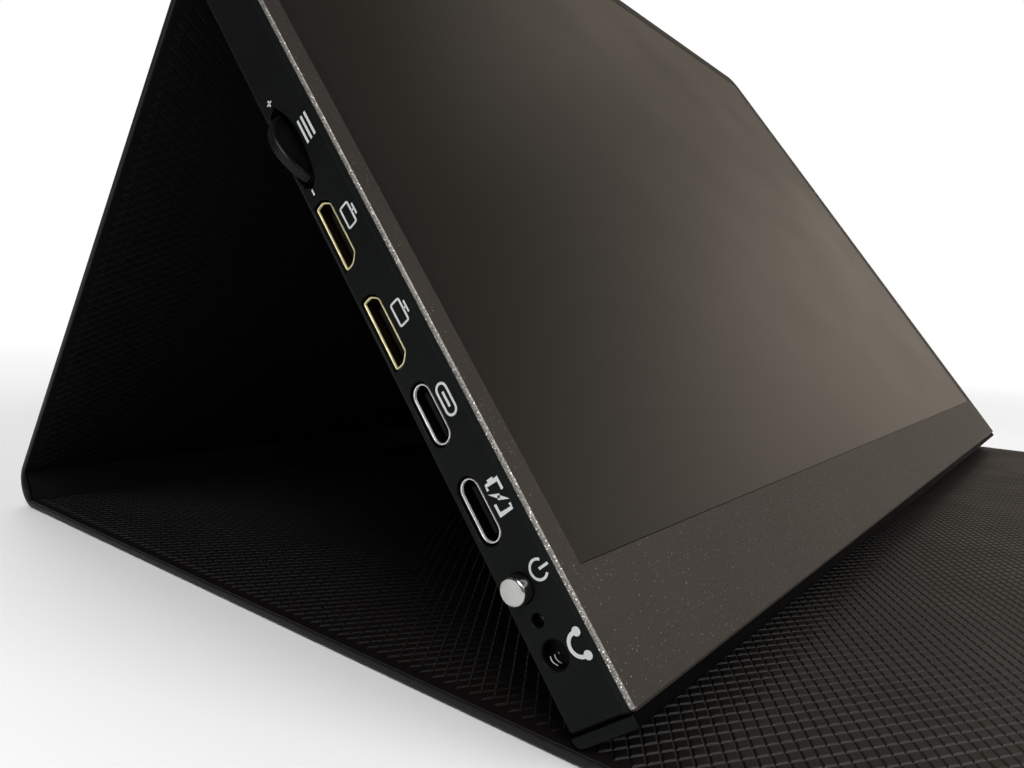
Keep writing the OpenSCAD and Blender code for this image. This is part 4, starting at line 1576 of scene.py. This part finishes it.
@dataclass
class Casing:
    """The rear casing, with openings in its left wall and slots under its speakers."""

    layout: SideLayout
    wall: float = 1.4
    back: float = 1.0
    rear_r: float = 0.8
    front_r: float = 0.04
    hold: float = 0.25
    openings: Openings = Openings()

    def __post_init__(self) -> None:
        """Reads the casing's sizes."""
        self.low, self.high = MONITOR.span("rear_casing")

    def shell(self) -> Solid:
        """Builds the casing's closed shell: a tray with a rounded rear edge.

        Returns:
            The shell.
        """
        low, high, rear_r, front_r, wall = self.low, self.high, self.rear_r, self.front_r, self.wall
        outer = rounded_box((low.x, 0), (high.x, high.y), LOW_CORNER_R, HIGH_CORNER_R, 10)
        rings = [(rear_r + self.hold, low.z)]
        for k in range(5):
            t = math.pi / 2 * k / 4
            rings.append((rear_r * (1 - math.sin(t)), low.z + rear_r * (1 - math.cos(t))))
        rings += [
            (0, low.z + rear_r + self.hold), (0, high.z - front_r - self.hold), (0, high.z - front_r),
            (front_r, high.z), (wall - front_r, high.z), (wall, high.z - front_r),
            (wall, low.z + self.back),
        ]
        solid = Solid(MONITOR)
        solid.loft([[(*p, z) for p in inset_corner(outer, d)] for d, z in rings])
        return solid

    def side_cutter(self, sockets: Sequence[SideSocket]) -> Solid:
        """Builds everything that is cut out of the left wall.

        Args:
            sockets: the four sockets.

        Returns:
            The cutter, in the wall's frame.
        """
        o, centre, size = self.openings, self.layout.centre, self.layout.size
        cutter = Solid(WALL)
        outlines = [socket.outline(o.gap) for socket in sockets]
        button_r = size("power_button")[0] / 2 - FLANGE_W + RUN_GAP
        bores = {"power_button": button_r, "light_pipe": o.light_r, "audio_jack": o.jack_r}
        outlines += [circle(*centre(node), radius, 40) for node, radius in bores.items()]
        wheel_w, wheel_d = size("menu_wheel")
        x, y = centre("menu_wheel")
        sunk = wheel_d / 2 - self.layout.span("menu_wheel")[1].z - self.wall
        reach = math.sqrt((wheel_d / 2) ** 2 - sunk ** 2) + o.wheel_end
        outlines.append(stadium(x, y, wheel_w + 2 * o.wheel_gap, 2 * reach))
        rings = [(0, -self.wall - 0.2), (0, -o.chamfer), (-o.chamfer, 0), (-o.chamfer, 0.5)]
        for outline in outlines:
            cutter.stack(outline, rings)
        self.cut_leaf(cutter, x + o.leaf_shift, y - o.leaf_drop)
        return cutter

    def cut_leaf(self, cutter: Solid, x: float, y: float) -> None:
        """Adds the leaf-shaped finger dish around the menu wheel.

        Args:
            cutter: the side cutter.
            x: the dish's depth on the wall.
            y: its height on the wall.
        """
        o = self.openings
        outline = leaf_outline(x, y, o.leaf_half_w, o.leaf_half_l)
        rings = [[(px, py, 0.5) for px, py in outline]]
        for k in range(7):
            t = math.pi / 2 * k / 6
            scale = 0.72 + 0.28 * math.cos(t)
            depth = -o.leaf_depth * math.sin(t)
            rings.append([(x + (px - x) * scale, y + (py - y) * scale, depth) for px, py in outline])
        cutter.loft(rings)

    def speaker_slots(self) -> Solid:
        """Builds the cutter of the two rows of speaker slots and of the screws' recesses.

        Returns:
            The cutter, in the monitor's frame.
        """
        count, pitch, floor_z = 7, 5.6, self.low.z
        slot, cutter = Solid(MONITOR), Solid(MONITOR)
        slot.stack(stadium(0, 0, 1.4, 8), [(-0.12, -0.5), (-0.12, 0.02), (0, 0.14), (0, 1.3)])
        points = []
        for node in ("speaker_left", "speaker_right"):
            low, high = MONITOR.span(node)
            middle = (low + high) / 2
            points += [(middle.x + (i - count // 2) * pitch, middle.y, floor_z) for i in range(count)]
        cutter.bm.from_mesh(SCATTER.mesh(points, slot))
        recess = [(1.1, 1.2), (1.1, 0.5), (2.0, 0.5), (2.0, 0.1), (2.12, -0.02), (2.12, -0.5)]
        for x, y in screw_places("casing_screws"):
            cutter.turned(x, y, [(r, floor_z + z) for r, z in recess], 40)
        return cutter

    def build(self, sockets: Sequence[SideSocket]) -> None:
        """Builds the casing with its openings, ribs and screw posts.

        Args:
            sockets: the four sockets.
        """
        paint = CASING_PAINT.material()
        solid = self.shell()
        side = self.side_cutter(sockets)
        side.bm.transform(MONITOR.matrix().inverted() @ WALL.matrix())
        solid.holes(side)
        solid.holes(self.speaker_slots())
        self.shade_openings(solid)
        rib_high = MONITOR.span("backlight_unit")[0].z
        floor_z = self.low.z + self.back
        for i in range(-2, 3):
            x = i * (self.high.x - self.low.x) / 7 + 20
            outline = rounded_box((x - 0.5, 44), (x + 0.5, self.high.y - 42), 0.2, steps=2)
            solid.slab(outline, floor_z - 0.02, rib_high, 0.2, hold=0.05)
        post_high = MONITOR.span("main_board")[0].z
        for x, y in screw_places("board_screws"):
            solid.turned(x, y, [(2.4, floor_z - 0.02), (2.2, floor_z + 0.2), (2.2, post_high - 0.1),
                                (2.1, post_high), (0.82, post_high), (0.82, floor_z - 0.02)], 32)
        piece = solid.piece("rear_casing_dress", paint, OPENING_SHADE.material())
        placed(piece, Body.MONITOR, "casing", "rear_casing")

    def shade_openings(self, solid: Solid) -> None:
        """Gives the walls of the side openings the darker second finish, painted shade."""
        edge = 0.9
        for face in solid.bm.faces:
            middle = face.calc_center_median()
            inner = self.low.z + edge < middle.z < self.high.z - edge
            if inner and self.openings.chamfer < middle.x - LEFT_X < self.wall - 0.01:
                face.material_index = 1


def inset_corner(outline: Outline, d: float) -> Outline:
    """Insets a box of round corners, of which the smallest are tighter than the inset.

    Args:
        outline: the box's outline.
        d: the distance.

    Returns:
        The outline moved in towards its middle without crossing itself.
    """
    points = [Vector(p) for p in outline]
    low = Vector((min(p.x for p in points), min(p.y for p in points)))
    high = Vector((max(p.x for p in points), max(p.y for p in points)))
    way = Vector((d, d))
    return rounded_box(low + way, high - way, max(LOW_CORNER_R - d, 0.1),
                       max(HIGH_CORNER_R - d, 0.1), len(outline) // 4 - 1)


def leaf_outline(x: float, y: float, half_w: float, half_l: float, steps: int = 20) -> Outline:
    """A leaf with a pointed upper end and a rounder lower one, about a centre."""
    points: Outline = []
    for side in (1, -1):
        for k in range(steps):
            t = -1 + 2 * k / steps if side > 0 else 1 - 2 * k / steps
            swell = (1 - t * t) ** (0.75 + 0.35 * t)
            points.append((x + side * half_w * swell, y + half_l * t))
    return points


def screw_places(node: str) -> list[tuple[float, float]]:
    """Middle of each separate screw of a node, in the monitor's frame.

    Args:
        node: name of a node that holds several screws.

    Returns:
        Their x and y, in millimetres.
    """
    back = MONITOR.matrix().inverted()
    bm = bmesh.new()
    bm.from_mesh(frame["nodes"][node].data)
    bmesh.ops.remove_doubles(bm, verts=bm.verts, dist=1e-7)
    places, seen = [], set()
    for start in bm.verts:
        if start in seen:
            continue
        group, queue = [], [start]
        seen.add(start)
        while queue:
            vertex = queue.pop()
            group.append(back @ vertex.co)
            for edge in vertex.link_edges:
                other = edge.other_vert(vertex)
                if other not in seen:
                    seen.add(other)
                    queue.append(other)
        xs, ys = [p.x for p in group], [p.y for p in group]
        places.append(((min(xs) + max(xs)) / 2, (min(ys) + max(ys)) / 2))
    bm.free()
    return places


@dataclass
class FrontFrame:
    """The front frame, with a chamfer around its face whose paint is made far lighter than the face's, a
    painted highlight.
    """

    gap: float = 0.03
    thick: float = 1.5
    chamfer: float = 0.42
    lip: float = 0.05
    window_r: float = 0.25
    post_r: float = 2.4
    bore_r: float = 1.0
    steps: int = 10

    def build(self) -> None:
        """Builds the ring of the frame and the posts behind its chin."""
        low, high = MONITOR.span("front_frame")
        window_low, window_high = MONITOR.span("display_glass")
        c, lip, back, gap, steps = self.chamfer, self.lip, -self.thick, self.gap, self.steps
        outer = rounded_box(low, high, LOW_CORNER_R, HIGH_CORNER_R, steps)
        rings = [[(*p, z) for p in inset_corner(outer, d)] for d, z in (
            (0.04, back), (0, back + 0.04), (0, -c - 0.06), (0.04, -c + 0.06),
            (c * 0.35, -c * 0.38), (c * 0.72, -0.1), (c, 0), (c + 0.3, 0),
        )]
        x0, y0 = window_low.x - gap, window_low.y - gap
        x1, y1 = window_high.x + gap, window_high.y + gap
        for d, z in ((-lip - 0.3, 0), (-lip, 0), (-0.03, -0.05), (0, -lip - 0.05), (0, back)):
            window = rounded_box((x0 + d, y0 + d), (x1 - d, y1 - d), self.window_r, steps=steps)
            rings.append([(*p, z) for p in window])
        solid = Solid(MONITOR)
        solid.loft(rings + rings[:1], [2, 2, 1, 1, 1, 1, 0, 0, 0, 0, 0, 0, 2], caps=False)
        # The low chamfer, which faces down, keeps the face's paint, so the painted highlight lies only on
        # the other chamfers.
        for face in solid.bm.faces:
            if face.material_index == 1 and face.calc_center_median().y < low.y + c:
                face.material_index = 0
        floor_z = MONITOR.span("rear_casing")[0].z + 1.0
        bore_r, post_r = self.bore_r, self.post_r
        for x, y in screw_places("casing_screws"):
            solid.turned(x, y, [
                (bore_r, back + 0.02), (post_r, back + 0.02), (post_r, floor_z + 0.2),
                (post_r - 0.2, floor_z), (bore_r + 0.02, floor_z), (bore_r, back + 0.02),
            ], 32)
        piece = solid.piece("front_frame_dress", FRAME_PAINT.material(), RIM_PAINTED_HIGHLIGHT.material(),
                            FRAME_SIDE.material())
        placed(piece, Body.MONITOR, "frame", "front_frame")


@dataclass
class Display:
    """The display's glass, with softened edges."""

    corner_r: float = 0.3
    corner_steps: int = 4
    face_inset: float = 1.0

    def build(self) -> None:
        """Builds the glass."""
        low, high = MONITOR.span("display_glass")
        outline = rounded_box(low, high, self.corner_r, steps=self.corner_steps)
        edge = edge_profile(high.z - low.z, 0.08, 0.12)
        edge = edge[:1] + edge + edge[-1:]
        rings = [[(*p, low.z + z) for p in inset(outline, min(d, self.corner_r - 0.01))] for d, z in edge]
        square = inset([(low.x, low.y), (high.x, low.y), (high.x, high.y), (low.x, high.y)],
                       self.face_inset)
        for ring in (rings[0], rings[-1]):
            height = ring[0][2]
            ring[:] = [(*square[i // (self.corner_steps + 1)], height) for i in range(len(outline))]
        solid = Solid(MONITOR)
        solid.loft(rings)
        piece = solid.piece("display_panel", ScreenFilm().material(low, high))
        placed(piece, Body.MONITOR, "display", "display_glass")


@dataclass
class Rail:
    """The rail under the bottom edge, on which the monitor rests."""

    front_r: float = 1.15

    def build(self) -> None:
        """Builds the rail, its long sides in a darker finish of painted shade between two plain ends."""
        low, high = MONITOR.span("bottom_rail")
        r = self.front_r
        outline = (
            [(high.z, -0.06), (low.z + 0.12, -0.06), (low.z, -0.18)]
            + arc(low.z + r, low.y + r, r, 180, 270, 8)
            + [(high.z - 0.35, low.y), (high.z - 0.1, low.y + 0.12), (high.z, low.y + 0.4)]
        )
        ends = ((0.25, low.x), (0.08, low.x + 0.06), (0, low.x + 0.25),
                (0, high.x - 0.25), (0.08, high.x - 0.06), (0.25, high.x))
        solid = Solid(MONITOR)
        # Slot 1, the darker finish of painted shade, covers the long run between the rounded ends.
        solid.loft([[(x, y, z) for z, y in inset(outline, d)] for d, x in ends], [0, 0, 1, 0, 0])
        piece = solid.piece("bottom_rail_dress", RAIL_PLASTIC.material(), RAIL_SHADE.material())
        placed(piece, Body.MONITOR, "rail", "bottom_rail")


@dataclass
class HeadphoneSocket:
    """The headphone socket: its moulded barrel with sprung contacts inside."""

    layout: SideLayout
    bore_r: float = 1.78
    collar_r: float = 2.2
    bore_l: float = 14.0
    front: float = -1.42
    rim: float = -0.22

    def build(self) -> None:
        """Builds the barrel and the springs."""
        x, y = self.layout.centre("audio_jack")
        low, high = self.layout.span("audio_jack")
        front, back, collar_r, bore_r, rim = self.front, low.z, self.collar_r, self.bore_r, self.rim
        body = Solid(WALL)
        body.turned(x, y, [
            (collar_r, back + 0.02), (collar_r, front - 0.12), (collar_r - 0.08, front - 0.02),
            (collar_r - 0.2, front), (bore_r + 0.14, front), (bore_r + 0.04, front - 0.05),
            (bore_r, front - 0.2), (bore_r, high.z - self.bore_l),
        ], 56)
        nose = bore_r + 0.12
        body.turned(x, y, [
            (bore_r, front - 0.01), (nose, front - 0.01), (nose, rim - 0.05), (nose - 0.05, rim),
            (bore_r + 0.02, rim), (bore_r, rim - 0.03), (bore_r, front - 0.01),
        ], 56)
        block = rounded_box(low, high, 0.3, steps=3)
        hole = circle(x, y, collar_r - 0.02, 16)
        start = front - 0.3
        sides = ((hole, start), (block, start), (block, back), (hole, back), (hole, start))
        body.loft([[(*p, z) for p in outline] for outline, z in sides], caps=False)
        piece = body.piece("audio_jack_dress", JACK_PLASTIC.material())
        placed(piece, Body.MONITOR, "jack_plastic", "audio_jack")
        # The springs' pale, mostly diffuse metal is a painted glint.
        springs = Solid(WALL)
        for i in range(3):
            springs.loft(self.spring(x - 1.34 + 0.36 * i, y, rim - 0.3 - 0.45 * i))
        piece = springs.piece("jack_contacts_dress", SPRING_PAINTED_GLINT.material())
        placed(piece, Body.MONITOR, "contact_metal", "jack_contacts")

    def spring(self, x: float, y: float, height: float) -> list[list[tuple]]:
        """Rings of a sprung wire that bows along the rear of the bore.

        Args:
            x: where it bows furthest to the rear.
            y: height of the bore's middle on the wall.
            height: how deep in the bore it lies.

        Returns:
            The rings.
        """
        half_w, half_t = 0.045, 0.06
        rings = []
        for k in range(9):
            t = k / 8
            along = x + 0.28 * (1 - math.sin(math.pi * t))
            z = height - 0.5 * (1 - t)
            rings.append([(along + half_w * a, y - 1.25 + 1.35 * t, z + half_t * b)
                          for a, b in ((-1, -1), (1, -1), (1, 1), (-1, 1))])
        return rings


@dataclass
class Controls:
    """The power button, the menu wheel and the light pipe."""

    layout: SideLayout
    ribs: int = 84
    rib_depth: float = 0.05
    light_r: float = 0.82

    def build(self) -> None:
        """Builds the controls."""
        self.build_button()
        self.build_wheel()
        self.build_light()

    def build_button(self) -> None:
        """Builds the turned button: cap, barrel, flange and stem."""
        low, high = self.layout.span("power_button")
        r, top, flange = (high.x - low.x) / 2 - FLANGE_W, high.z, -1.5
        button = Solid(WALL)
        button.turned(*self.layout.centre("power_button"), [
            (0.02, top - 0.02), (r - 0.9, top - 0.015), (r - 0.36, top), (r - 0.28, top),
            (r - 0.21, top - 0.02), (r - 0.04, top - 0.17), (r, top - 0.26), (r, top - 0.5),
            (r, 0.3), (r, 0), (r, flange), (r + 0.28, flange - 0.02), (r + FLANGE_W, flange - 0.1),
            (r + FLANGE_W, flange - 0.4), (r + 0.2, flange - 0.5), (0.9, flange - 0.5),
            (0.8, flange - 0.6), (0.8, low.z + 0.1), (0.7, low.z), (0.02, low.z),
        ], 72)
        piece = button.piece("power_button_dress", BUTTON_METAL.material())
        placed(piece, Body.BUTTON, "button_metal", "power_button")

    def build_wheel(self) -> None:
        """Builds the menu wheel with a finely ribbed rim; its flat faces get a darker copy of its
        plastic, painted shade.
        """
        low, high = MONITOR.span("menu_wheel")
        x, y = (low.x + high.x) / 2, (low.y + high.y) / 2
        r, ribs, depth, bore = (high.x - low.x) / 2, self.ribs, self.rib_depth, 1.26
        z0, z1 = low.z, high.z
        wheel = Solid(MONITOR)
        wheel.turned(x, y, [
            (bore, z0 + 0.1), (bore + 0.1, z0), (r - 2.2, z0), (r - 1.8, z0 + 0.12), (r - 0.7, z0 + 0.12),
            (r - 0.45, z0 + 0.02), (r - 0.22, z0 + 0.06), (r - 0.06, z0 + 0.22), (r - depth, z0 + 0.4),
            (r - depth, z1 - 0.4), (r - 0.06, z1 - 0.22), (r - 0.22, z1 - 0.06), (r - 0.45, z1 - 0.02),
            (r - 0.7, z1 - 0.12), (r - 1.8, z1 - 0.12), (r - 2.2, z1), (bore + 0.1, z1), (bore, z1 - 0.1),
            (bore, z0 + 0.1),
        ], ribs * 4, lambda t: depth * (0.5 + 0.5 * math.cos(ribs * t)) - depth * 0.2)
        for face in [f for f in wheel.bm.faces if len(f.verts) > 4]:
            wheel.bm.faces.remove(face)
        # Faces inside the rim take slot 1, the darker finish of painted shade.
        for face in wheel.bm.faces:
            middle = face.calc_center_median()
            face.material_index = int(math.hypot(middle.x - x, middle.y - y) < r - 0.5)
        piece = wheel.piece("menu_wheel_dress", WHEEL_PLASTIC.material(), WHEEL_FACE_SHADE.material(), sharp=40)
        placed(piece, Body.WHEEL, "wheel_plastic", "menu_wheel")

    def build_light(self) -> None:
        """Builds the light pipe with a domed end."""
        low, high = self.layout.span("light_pipe")
        r = self.light_r
        turns = [math.pi / 2 * k / 5 for k in range(5)]
        dome = [(r * math.cos(t), high.z - 1.1 + 0.3 * math.sin(t)) for t in turns]
        pipe = Solid(WALL)
        pipe.turned(*self.layout.centre("light_pipe"),
                    [(0.02, low.z), (r, low.z), *dome, (0.02, high.z - 0.8)], 32)
        piece = pipe.piece("light_pipe_dress", ClearRod().material())
        placed(piece, Body.MONITOR, "clear_plastic", "light_pipe")


class Pictogram(Enum):
    """The generic signs printed beside the sockets and controls."""

    MENU = "three bars"
    SCREEN = "screen outline"
    PORT = "oval port outline"
    BATTERY = "battery with a bolt"
    POWER = "power sign"
    HEADPHONES = "headphones"
    PLUS = "plus"
    MINUS = "minus"


@dataclass
class SidePrint:
    """Signs printed on the left wall: x is depth on the wall and y runs up the monitor."""

    line: float = 0.3
    lift: float = 0.02

    def build(self) -> None:
        """Prints each sign at its place."""
        self.ink = Solid(WALL)
        signs = {
            Pictogram.MENU: (self.menu, [(-3.4, 89.3)]),
            Pictogram.SCREEN: (self.screen, [(-3.6, 73.4), (-3.4, 56.6)]),
            Pictogram.PORT: (self.port, [(-3.4, 42.8)]),
            Pictogram.BATTERY: (self.battery, [(-3.1, 28.5)]),
            Pictogram.POWER: (self.power, [(-2.8, 18.6)]),
            Pictogram.HEADPHONES: (self.headphones, [(-2.5, 9.0)]),
            Pictogram.PLUS: (self.plus, [(-7.6, 98.2)]),
            Pictogram.MINUS: (self.minus, [(-7.7, 80.9)]),
        }
        for sign, (draw, spots) in signs.items():
            for spot in spots:
                draw(*spot)
                LOG.info("side_print: %s", sign.value)
        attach(self.ink.piece("side_print", PRINT_INK.material()), Body.MONITOR.value)

    def stroke(self, points: Outline, width: float | None = None, closed: bool = False) -> None:
        """Prints a line of even width.

        Args:
            points: the line's points on the wall.
            width: its width, or None for the usual one.
            closed: whether its end joins its start.
        """
        half = (width or self.line) / 2
        line = [Vector(p) for p in points]
        rows = []
        for i, here in enumerate(line):
            before = line[i - 1] if i or closed else here
            after = line[(i + 1) % len(line)] if i < len(line) - 1 or closed else here
            way = (after - before).normalized()
            side = Vector((-way.y, way.x))
            if 0 < i < len(line) - 1 or closed:
                first = (here - before).normalized()
                side = side / max(side.dot(Vector((-first.y, first.x))), 0.5)
            rows.append([here + side * half, here - side * half])
        rings = [
            [(*a, -0.01), (*b, -0.01), (*b, self.lift), (*a, self.lift)] for a, b in rows
        ]
        if closed:
            rings.append(rings[0])
        self.ink.loft(rings, caps=not closed)

    def blob(self, outline: Outline) -> None:
        """Prints a filled outline."""
        self.ink.slab(outline, -0.01, self.lift * 1.3)

    def menu(self, x: float, y: float) -> None:
        """Three bars, one above the other."""
        for i in (-1, 0, 1):
            self.stroke([(x + i * 0.9, y - 2.1), (x + i * 0.9, y + 2.1)], 0.42)

    def screen(self, x: float, y: float) -> None:
        """A small screen on a stand, its top to the rear."""
        self.stroke(rounded_box((x - 1.15, y - 1.7), (x + 0.55, y + 1.7), 0.25, steps=3), closed=True)
        self.stroke([(x + 0.55, y), (x + 1.1, y)])
        self.stroke([(x + 1.15, y - 0.9), (x + 1.15, y + 0.9)])

    def port(self, x: float, y: float) -> None:
        """An oval port with its tongue."""
        self.stroke(stadium(x, y, 1.75, 4.5, 8), 0.34, closed=True)
        self.stroke([(x, y - 1.1), (x, y + 1.1)], 0.38)

    def battery(self, x: float, y: float) -> None:
        """A battery with a bolt through its middle."""
        w, h = 1.05, 2.0
        for side in (-1, 1):
            half = [(w * side, 0.55), (w * side, h), (-w * side, h), (-w * side, 1.35)]
            self.stroke([(x + px, y + side * py) for px, py in half], 0.4)
        self.blob([(x - 0.5, y + h + 0.15), (x + 0.5, y + h + 0.15), (x + 0.5, y + h + 0.55),
                   (x - 0.5, y + h + 0.55)])
        for side in (-1, 1):
            bolt = [(-1.35, 0.95), (0.32, 0.3), (0.1, -0.22), (-0.25, -0.1)]
            self.blob([(x + side * px, y + side * py) for px, py in bolt])

    def power(self, x: float, y: float) -> None:
        """A ring that is open towards the screen, with a bar in the opening."""
        self.stroke(arc(x, y, 1.25, 50, 320, 24), 0.34)
        self.stroke([(x + 0.1, y + 0.02), (x + 1.65, y + 0.12)], 0.34)

    def headphones(self, x: float, y: float) -> None:
        """A band to the rear with two cushions."""
        self.stroke(arc(x, y, 1.45, 80, 280, 24), 0.5)
        for side in (-1, 1):
            self.blob(circle(x + 0.4, y + side * 1.45, 0.58, 24))

    def plus(self, x: float, y: float) -> None:
        """A plus."""
        self.stroke([(x - 0.55, y), (x + 0.55, y)], 0.26)
        self.stroke([(x, y - 0.55), (x, y + 0.55)], 0.26)

    def minus(self, x: float, y: float) -> None:
        """A minus, across the wheel's travel."""
        self.stroke([(x, y - 0.5), (x, y + 0.5)], 0.28)


class Fasteners:
    """The screws in the back of the casing."""

    def build(self) -> None:
        """Builds the casing's screws with cross recesses."""
        low, _ = MONITOR.span("casing_screws")
        screw = Solid(MONITOR)
        screw.turned(0, 0, [
            (0.02, 6.4), (0.8, 6.4), (0.95, 6.1), (0.95, 0.5), (1.8, 0.45), (1.88, 0.3), (1.75, 0.12),
            (1.3, 0.03), (0.02, 0.0),
        ], 36)
        cross = Solid(MONITOR)
        for w, h in ((0.42, 1.9), (1.9, 0.42)):
            cross.slab(rounded_box((-w / 2, -h / 2), (w / 2, h / 2), 0.1, steps=2), -0.3, 0.32)
        screw.holes(cross)
        points = [(x, y, low.z) for x, y in screw_places("casing_screws")]
        screws = Solid(MONITOR)
        screws.bm.from_mesh(SCATTER.mesh(points, screw))
        piece = screws.piece("casing_screws_dress", SCREW_STEEL.material(MONITOR))
        placed(piece, Body.MONITOR, "screw_steel", "casing_screws")


class Insides:
    """The pieces that lie inside the monitor."""

    def build(self) -> None:
        """Gives each inner node its finish."""
        plastic = DARK_PLASTIC.material()
        finishes = {
            "attach_plate": MAGNET.material(MONITOR), "backlight_unit": TRAY.material(MONITOR),
            "panel_gasket": FOAM.material(), "main_board": CircuitBoard().material(),
            "board_chips": plastic, "chip_shield": TIN.material(MONITOR),
            "board_screws": SCREW_STEEL.material(MONITOR), "power_switch": plastic,
            "status_led": PALE_PLASTIC.material(), "wheel_switch": plastic, "wheel_carrier": plastic,
            "speaker_left": plastic, "speaker_right": plastic, "panel_connector": PALE_PLASTIC.material(),
            "panel_cable": FILM.material(),
        }
        for node, finish in finishes.items():
            refinish(node, finish)
            LOG.info("%s: refinished", node)


# Studio


@dataclass(frozen=True)
class Softbox:
    """A large soft lamp, aimed at a point."""

    name: str
    place: tuple
    size: float
    power: float
    target: tuple = (0.0, 0.0, 0.08)

    def build(self) -> None:
        """Adds the lamp."""
        data = bpy.data.lights.new(self.name, "AREA")
        data.shape = "SQUARE"
        data.size = self.size
        data.energy = self.power
        lamp = linked(self.name, data)
        lamp.location = self.place
        lamp.rotation_mode = "QUATERNION"
        way = Vector(self.target) - Vector(self.place)
        lamp.rotation_quaternion = way.to_track_quat("-Z", "Y")


@dataclass(frozen=True)
class Studio:
    """A pale floor, soft light and the camera."""

    ambient: float = 0.7
    floor_tone: float = 0.9
    floor_reach: float = 6.0
    floor_drop: float = -0.0002
    camera_place: tuple = (-0.24999, -0.08275, 0.05149)
    camera_turn: tuple = (81.793, -2.694, -50.124)
    lens: float = 26.939
    shift: tuple = (0.04884, 0.03912)

    def build(self) -> None:
        """Sets up floor, world, lamps, camera and view."""
        self.build_floor()
        self.build_world()
        Softbox("key", (-0.9, -0.5, 1.2), 0.8, 14.0).build()
        Softbox("front", (0.3, -1.4, 1.1), 0.9, 10.0).build()
        Softbox("back", (0.3, 1.3, 1.2), 0.9, 8.0).build()
        data = bpy.data.cameras.new("camera")
        data.lens = self.lens
        data.sensor_width = 36
        data.shift_x, data.shift_y = self.shift
        data.clip_start = 0.005
        camera = linked("camera", data)
        camera.location = self.camera_place
        camera.rotation_euler = [math.radians(a) for a in self.camera_turn]
        bpy.context.scene.camera = camera
        bpy.context.scene.view_settings.view_transform = "Standard"

    def build_floor(self) -> None:
        """Adds the floor, which fades to plain white away from the object."""
        mesh = bpy.data.meshes.new("floor")
        reach = self.floor_reach
        corners = ((-reach, -reach), (reach, -reach), (reach, reach), (-reach, reach))
        mesh.from_pydata([(*p, self.floor_drop) for p in corners], [], [(0, 1, 2, 3)])
        floor = linked("floor", mesh)
        r = Recipe("pale_floor")
        r.set(Base_Color=(self.floor_tone,) * 3, Roughness=0.9, Specular_IOR_Level=0.1)
        away = r.add("ShaderNodeVectorMath", operation="LENGTH")
        r.link(r.add("ShaderNodeTexCoord").outputs["Object"], away.inputs[0])
        fade = r.ramp(away.outputs["Value"], [(0.32, 0.0), (0.75, 1.0)])
        share = r.math("MULTIPLY", r.seen(r.add("ShaderNodeLightPath")), fade)
        mixer = r.add("ShaderNodeMixShader")
        sources = share, r.shader.outputs[0], r.add("ShaderNodeEmission").outputs[0]
        for source, target in zip(sources, mixer.inputs):
            r.link(source, target)
        r.link(mixer.outputs[0], r.output.inputs["Surface"])
        mesh.materials.append(r.material)

    def build_world(self) -> None:
        """Sets a white background, lit like a room that is brightest to the front right."""
        world = bpy.data.worlds.new("studio")
        bpy.context.scene.world = world
        world.use_nodes = True
        n = Nodes(world.node_tree)
        path = n.add("ShaderNodeLightPath")
        way = n.add("ShaderNodeTexCoord").outputs["Generated"]
        split = n.add("ShaderNodeSeparateXYZ")
        lit = n.add("ShaderNodeVectorMath", operation="DOT_PRODUCT")
        lit.inputs[1].default_value = Vector((0.5, -0.6, 0.6)).normalized()
        for node in (split, lit):
            n.link(way, node.inputs[0])
        room = n.ramp(lit.outputs["Value"], [(0.0, 0.2), (0.5, 0.54), (1.0, 1.0)])
        high = split.outputs["Z"]
        ahead = n.ramp(high, [(0.0, 0.34), (0.26, 0.43), (0.36, 0.37), (0.45, 0.26), (0.6, 0.12),
                              (0.75, 0.06)])
        behind = n.ramp(high, [(0.0, 0.23), (0.62, 0.25), (0.76, 0.06)])
        turned = n.ramp(split.outputs["Y"], [(0.05, 0.0), (0.14, 1.0)])
        side = n.ramp(split.outputs["X"], [(0.0, 0.35), (0.5, 0.7), (0.8, 1.0)])
        shiny = n.mix("MULTIPLY", 1.0, n.mix("MIX", turned, ahead, behind), side)
        warm = n.mix("MULTIPLY", 1.0, shiny, (1.16, 1.0, 0.82))
        colour = n.mix("MIX", path.outputs["Is Glossy Ray"], room, warm)
        for name in ("Is Camera Ray", "Is Transmission Ray"):
            colour = n.mix("MIX", path.outputs[name], colour, (1, 1, 1))
        background = n.add("ShaderNodeBackground")
        strength = n.ramp(n.seen(path), [(0.0, self.ambient), (1.0, 1.0)])
        n.fill(background, Color=colour, Strength=strength)
        n.link(background.outputs[0], n.add("ShaderNodeOutputWorld").inputs["Surface"])


def main() -> None:
    """Builds the object in order, then the studio around it."""
    logging.basicConfig(level=logging.INFO, format="%(name)s %(message)s")
    layout = SideLayout()
    videos = [VideoSocket(n, layout) for n in (1, 2)]
    datas = [DataSocket(n, layout) for n in (1, 2)]
    Cover().build()
    Casing(layout).build([*videos, *datas])
    FrontFrame().build()
    Display().build()
    Rail().build()
    plastic, contact = TONGUE_PLASTIC.material(), CONTACT.material()
    # The shells' metals are half diffuse, a painted highlight on their lips.
    gold, steel = GOLD.material(), STEEL.material()
    # The deep insides of the shells take darker copies of their metals: painted shade.
    for socket in videos:
        socket.build(gold, GOLD_PAINTED_SHADE.material(), plastic, contact)
    for socket in datas:
        socket.build(steel, STEEL_PAINTED_SHADE.material(), plastic, contact)
    HeadphoneSocket(layout).build()
    Controls(layout).build()
    SidePrint().build()
    Fasteners().build()
    Insides().build()
    Studio().build()


if __name__ == "__main__":
    main()
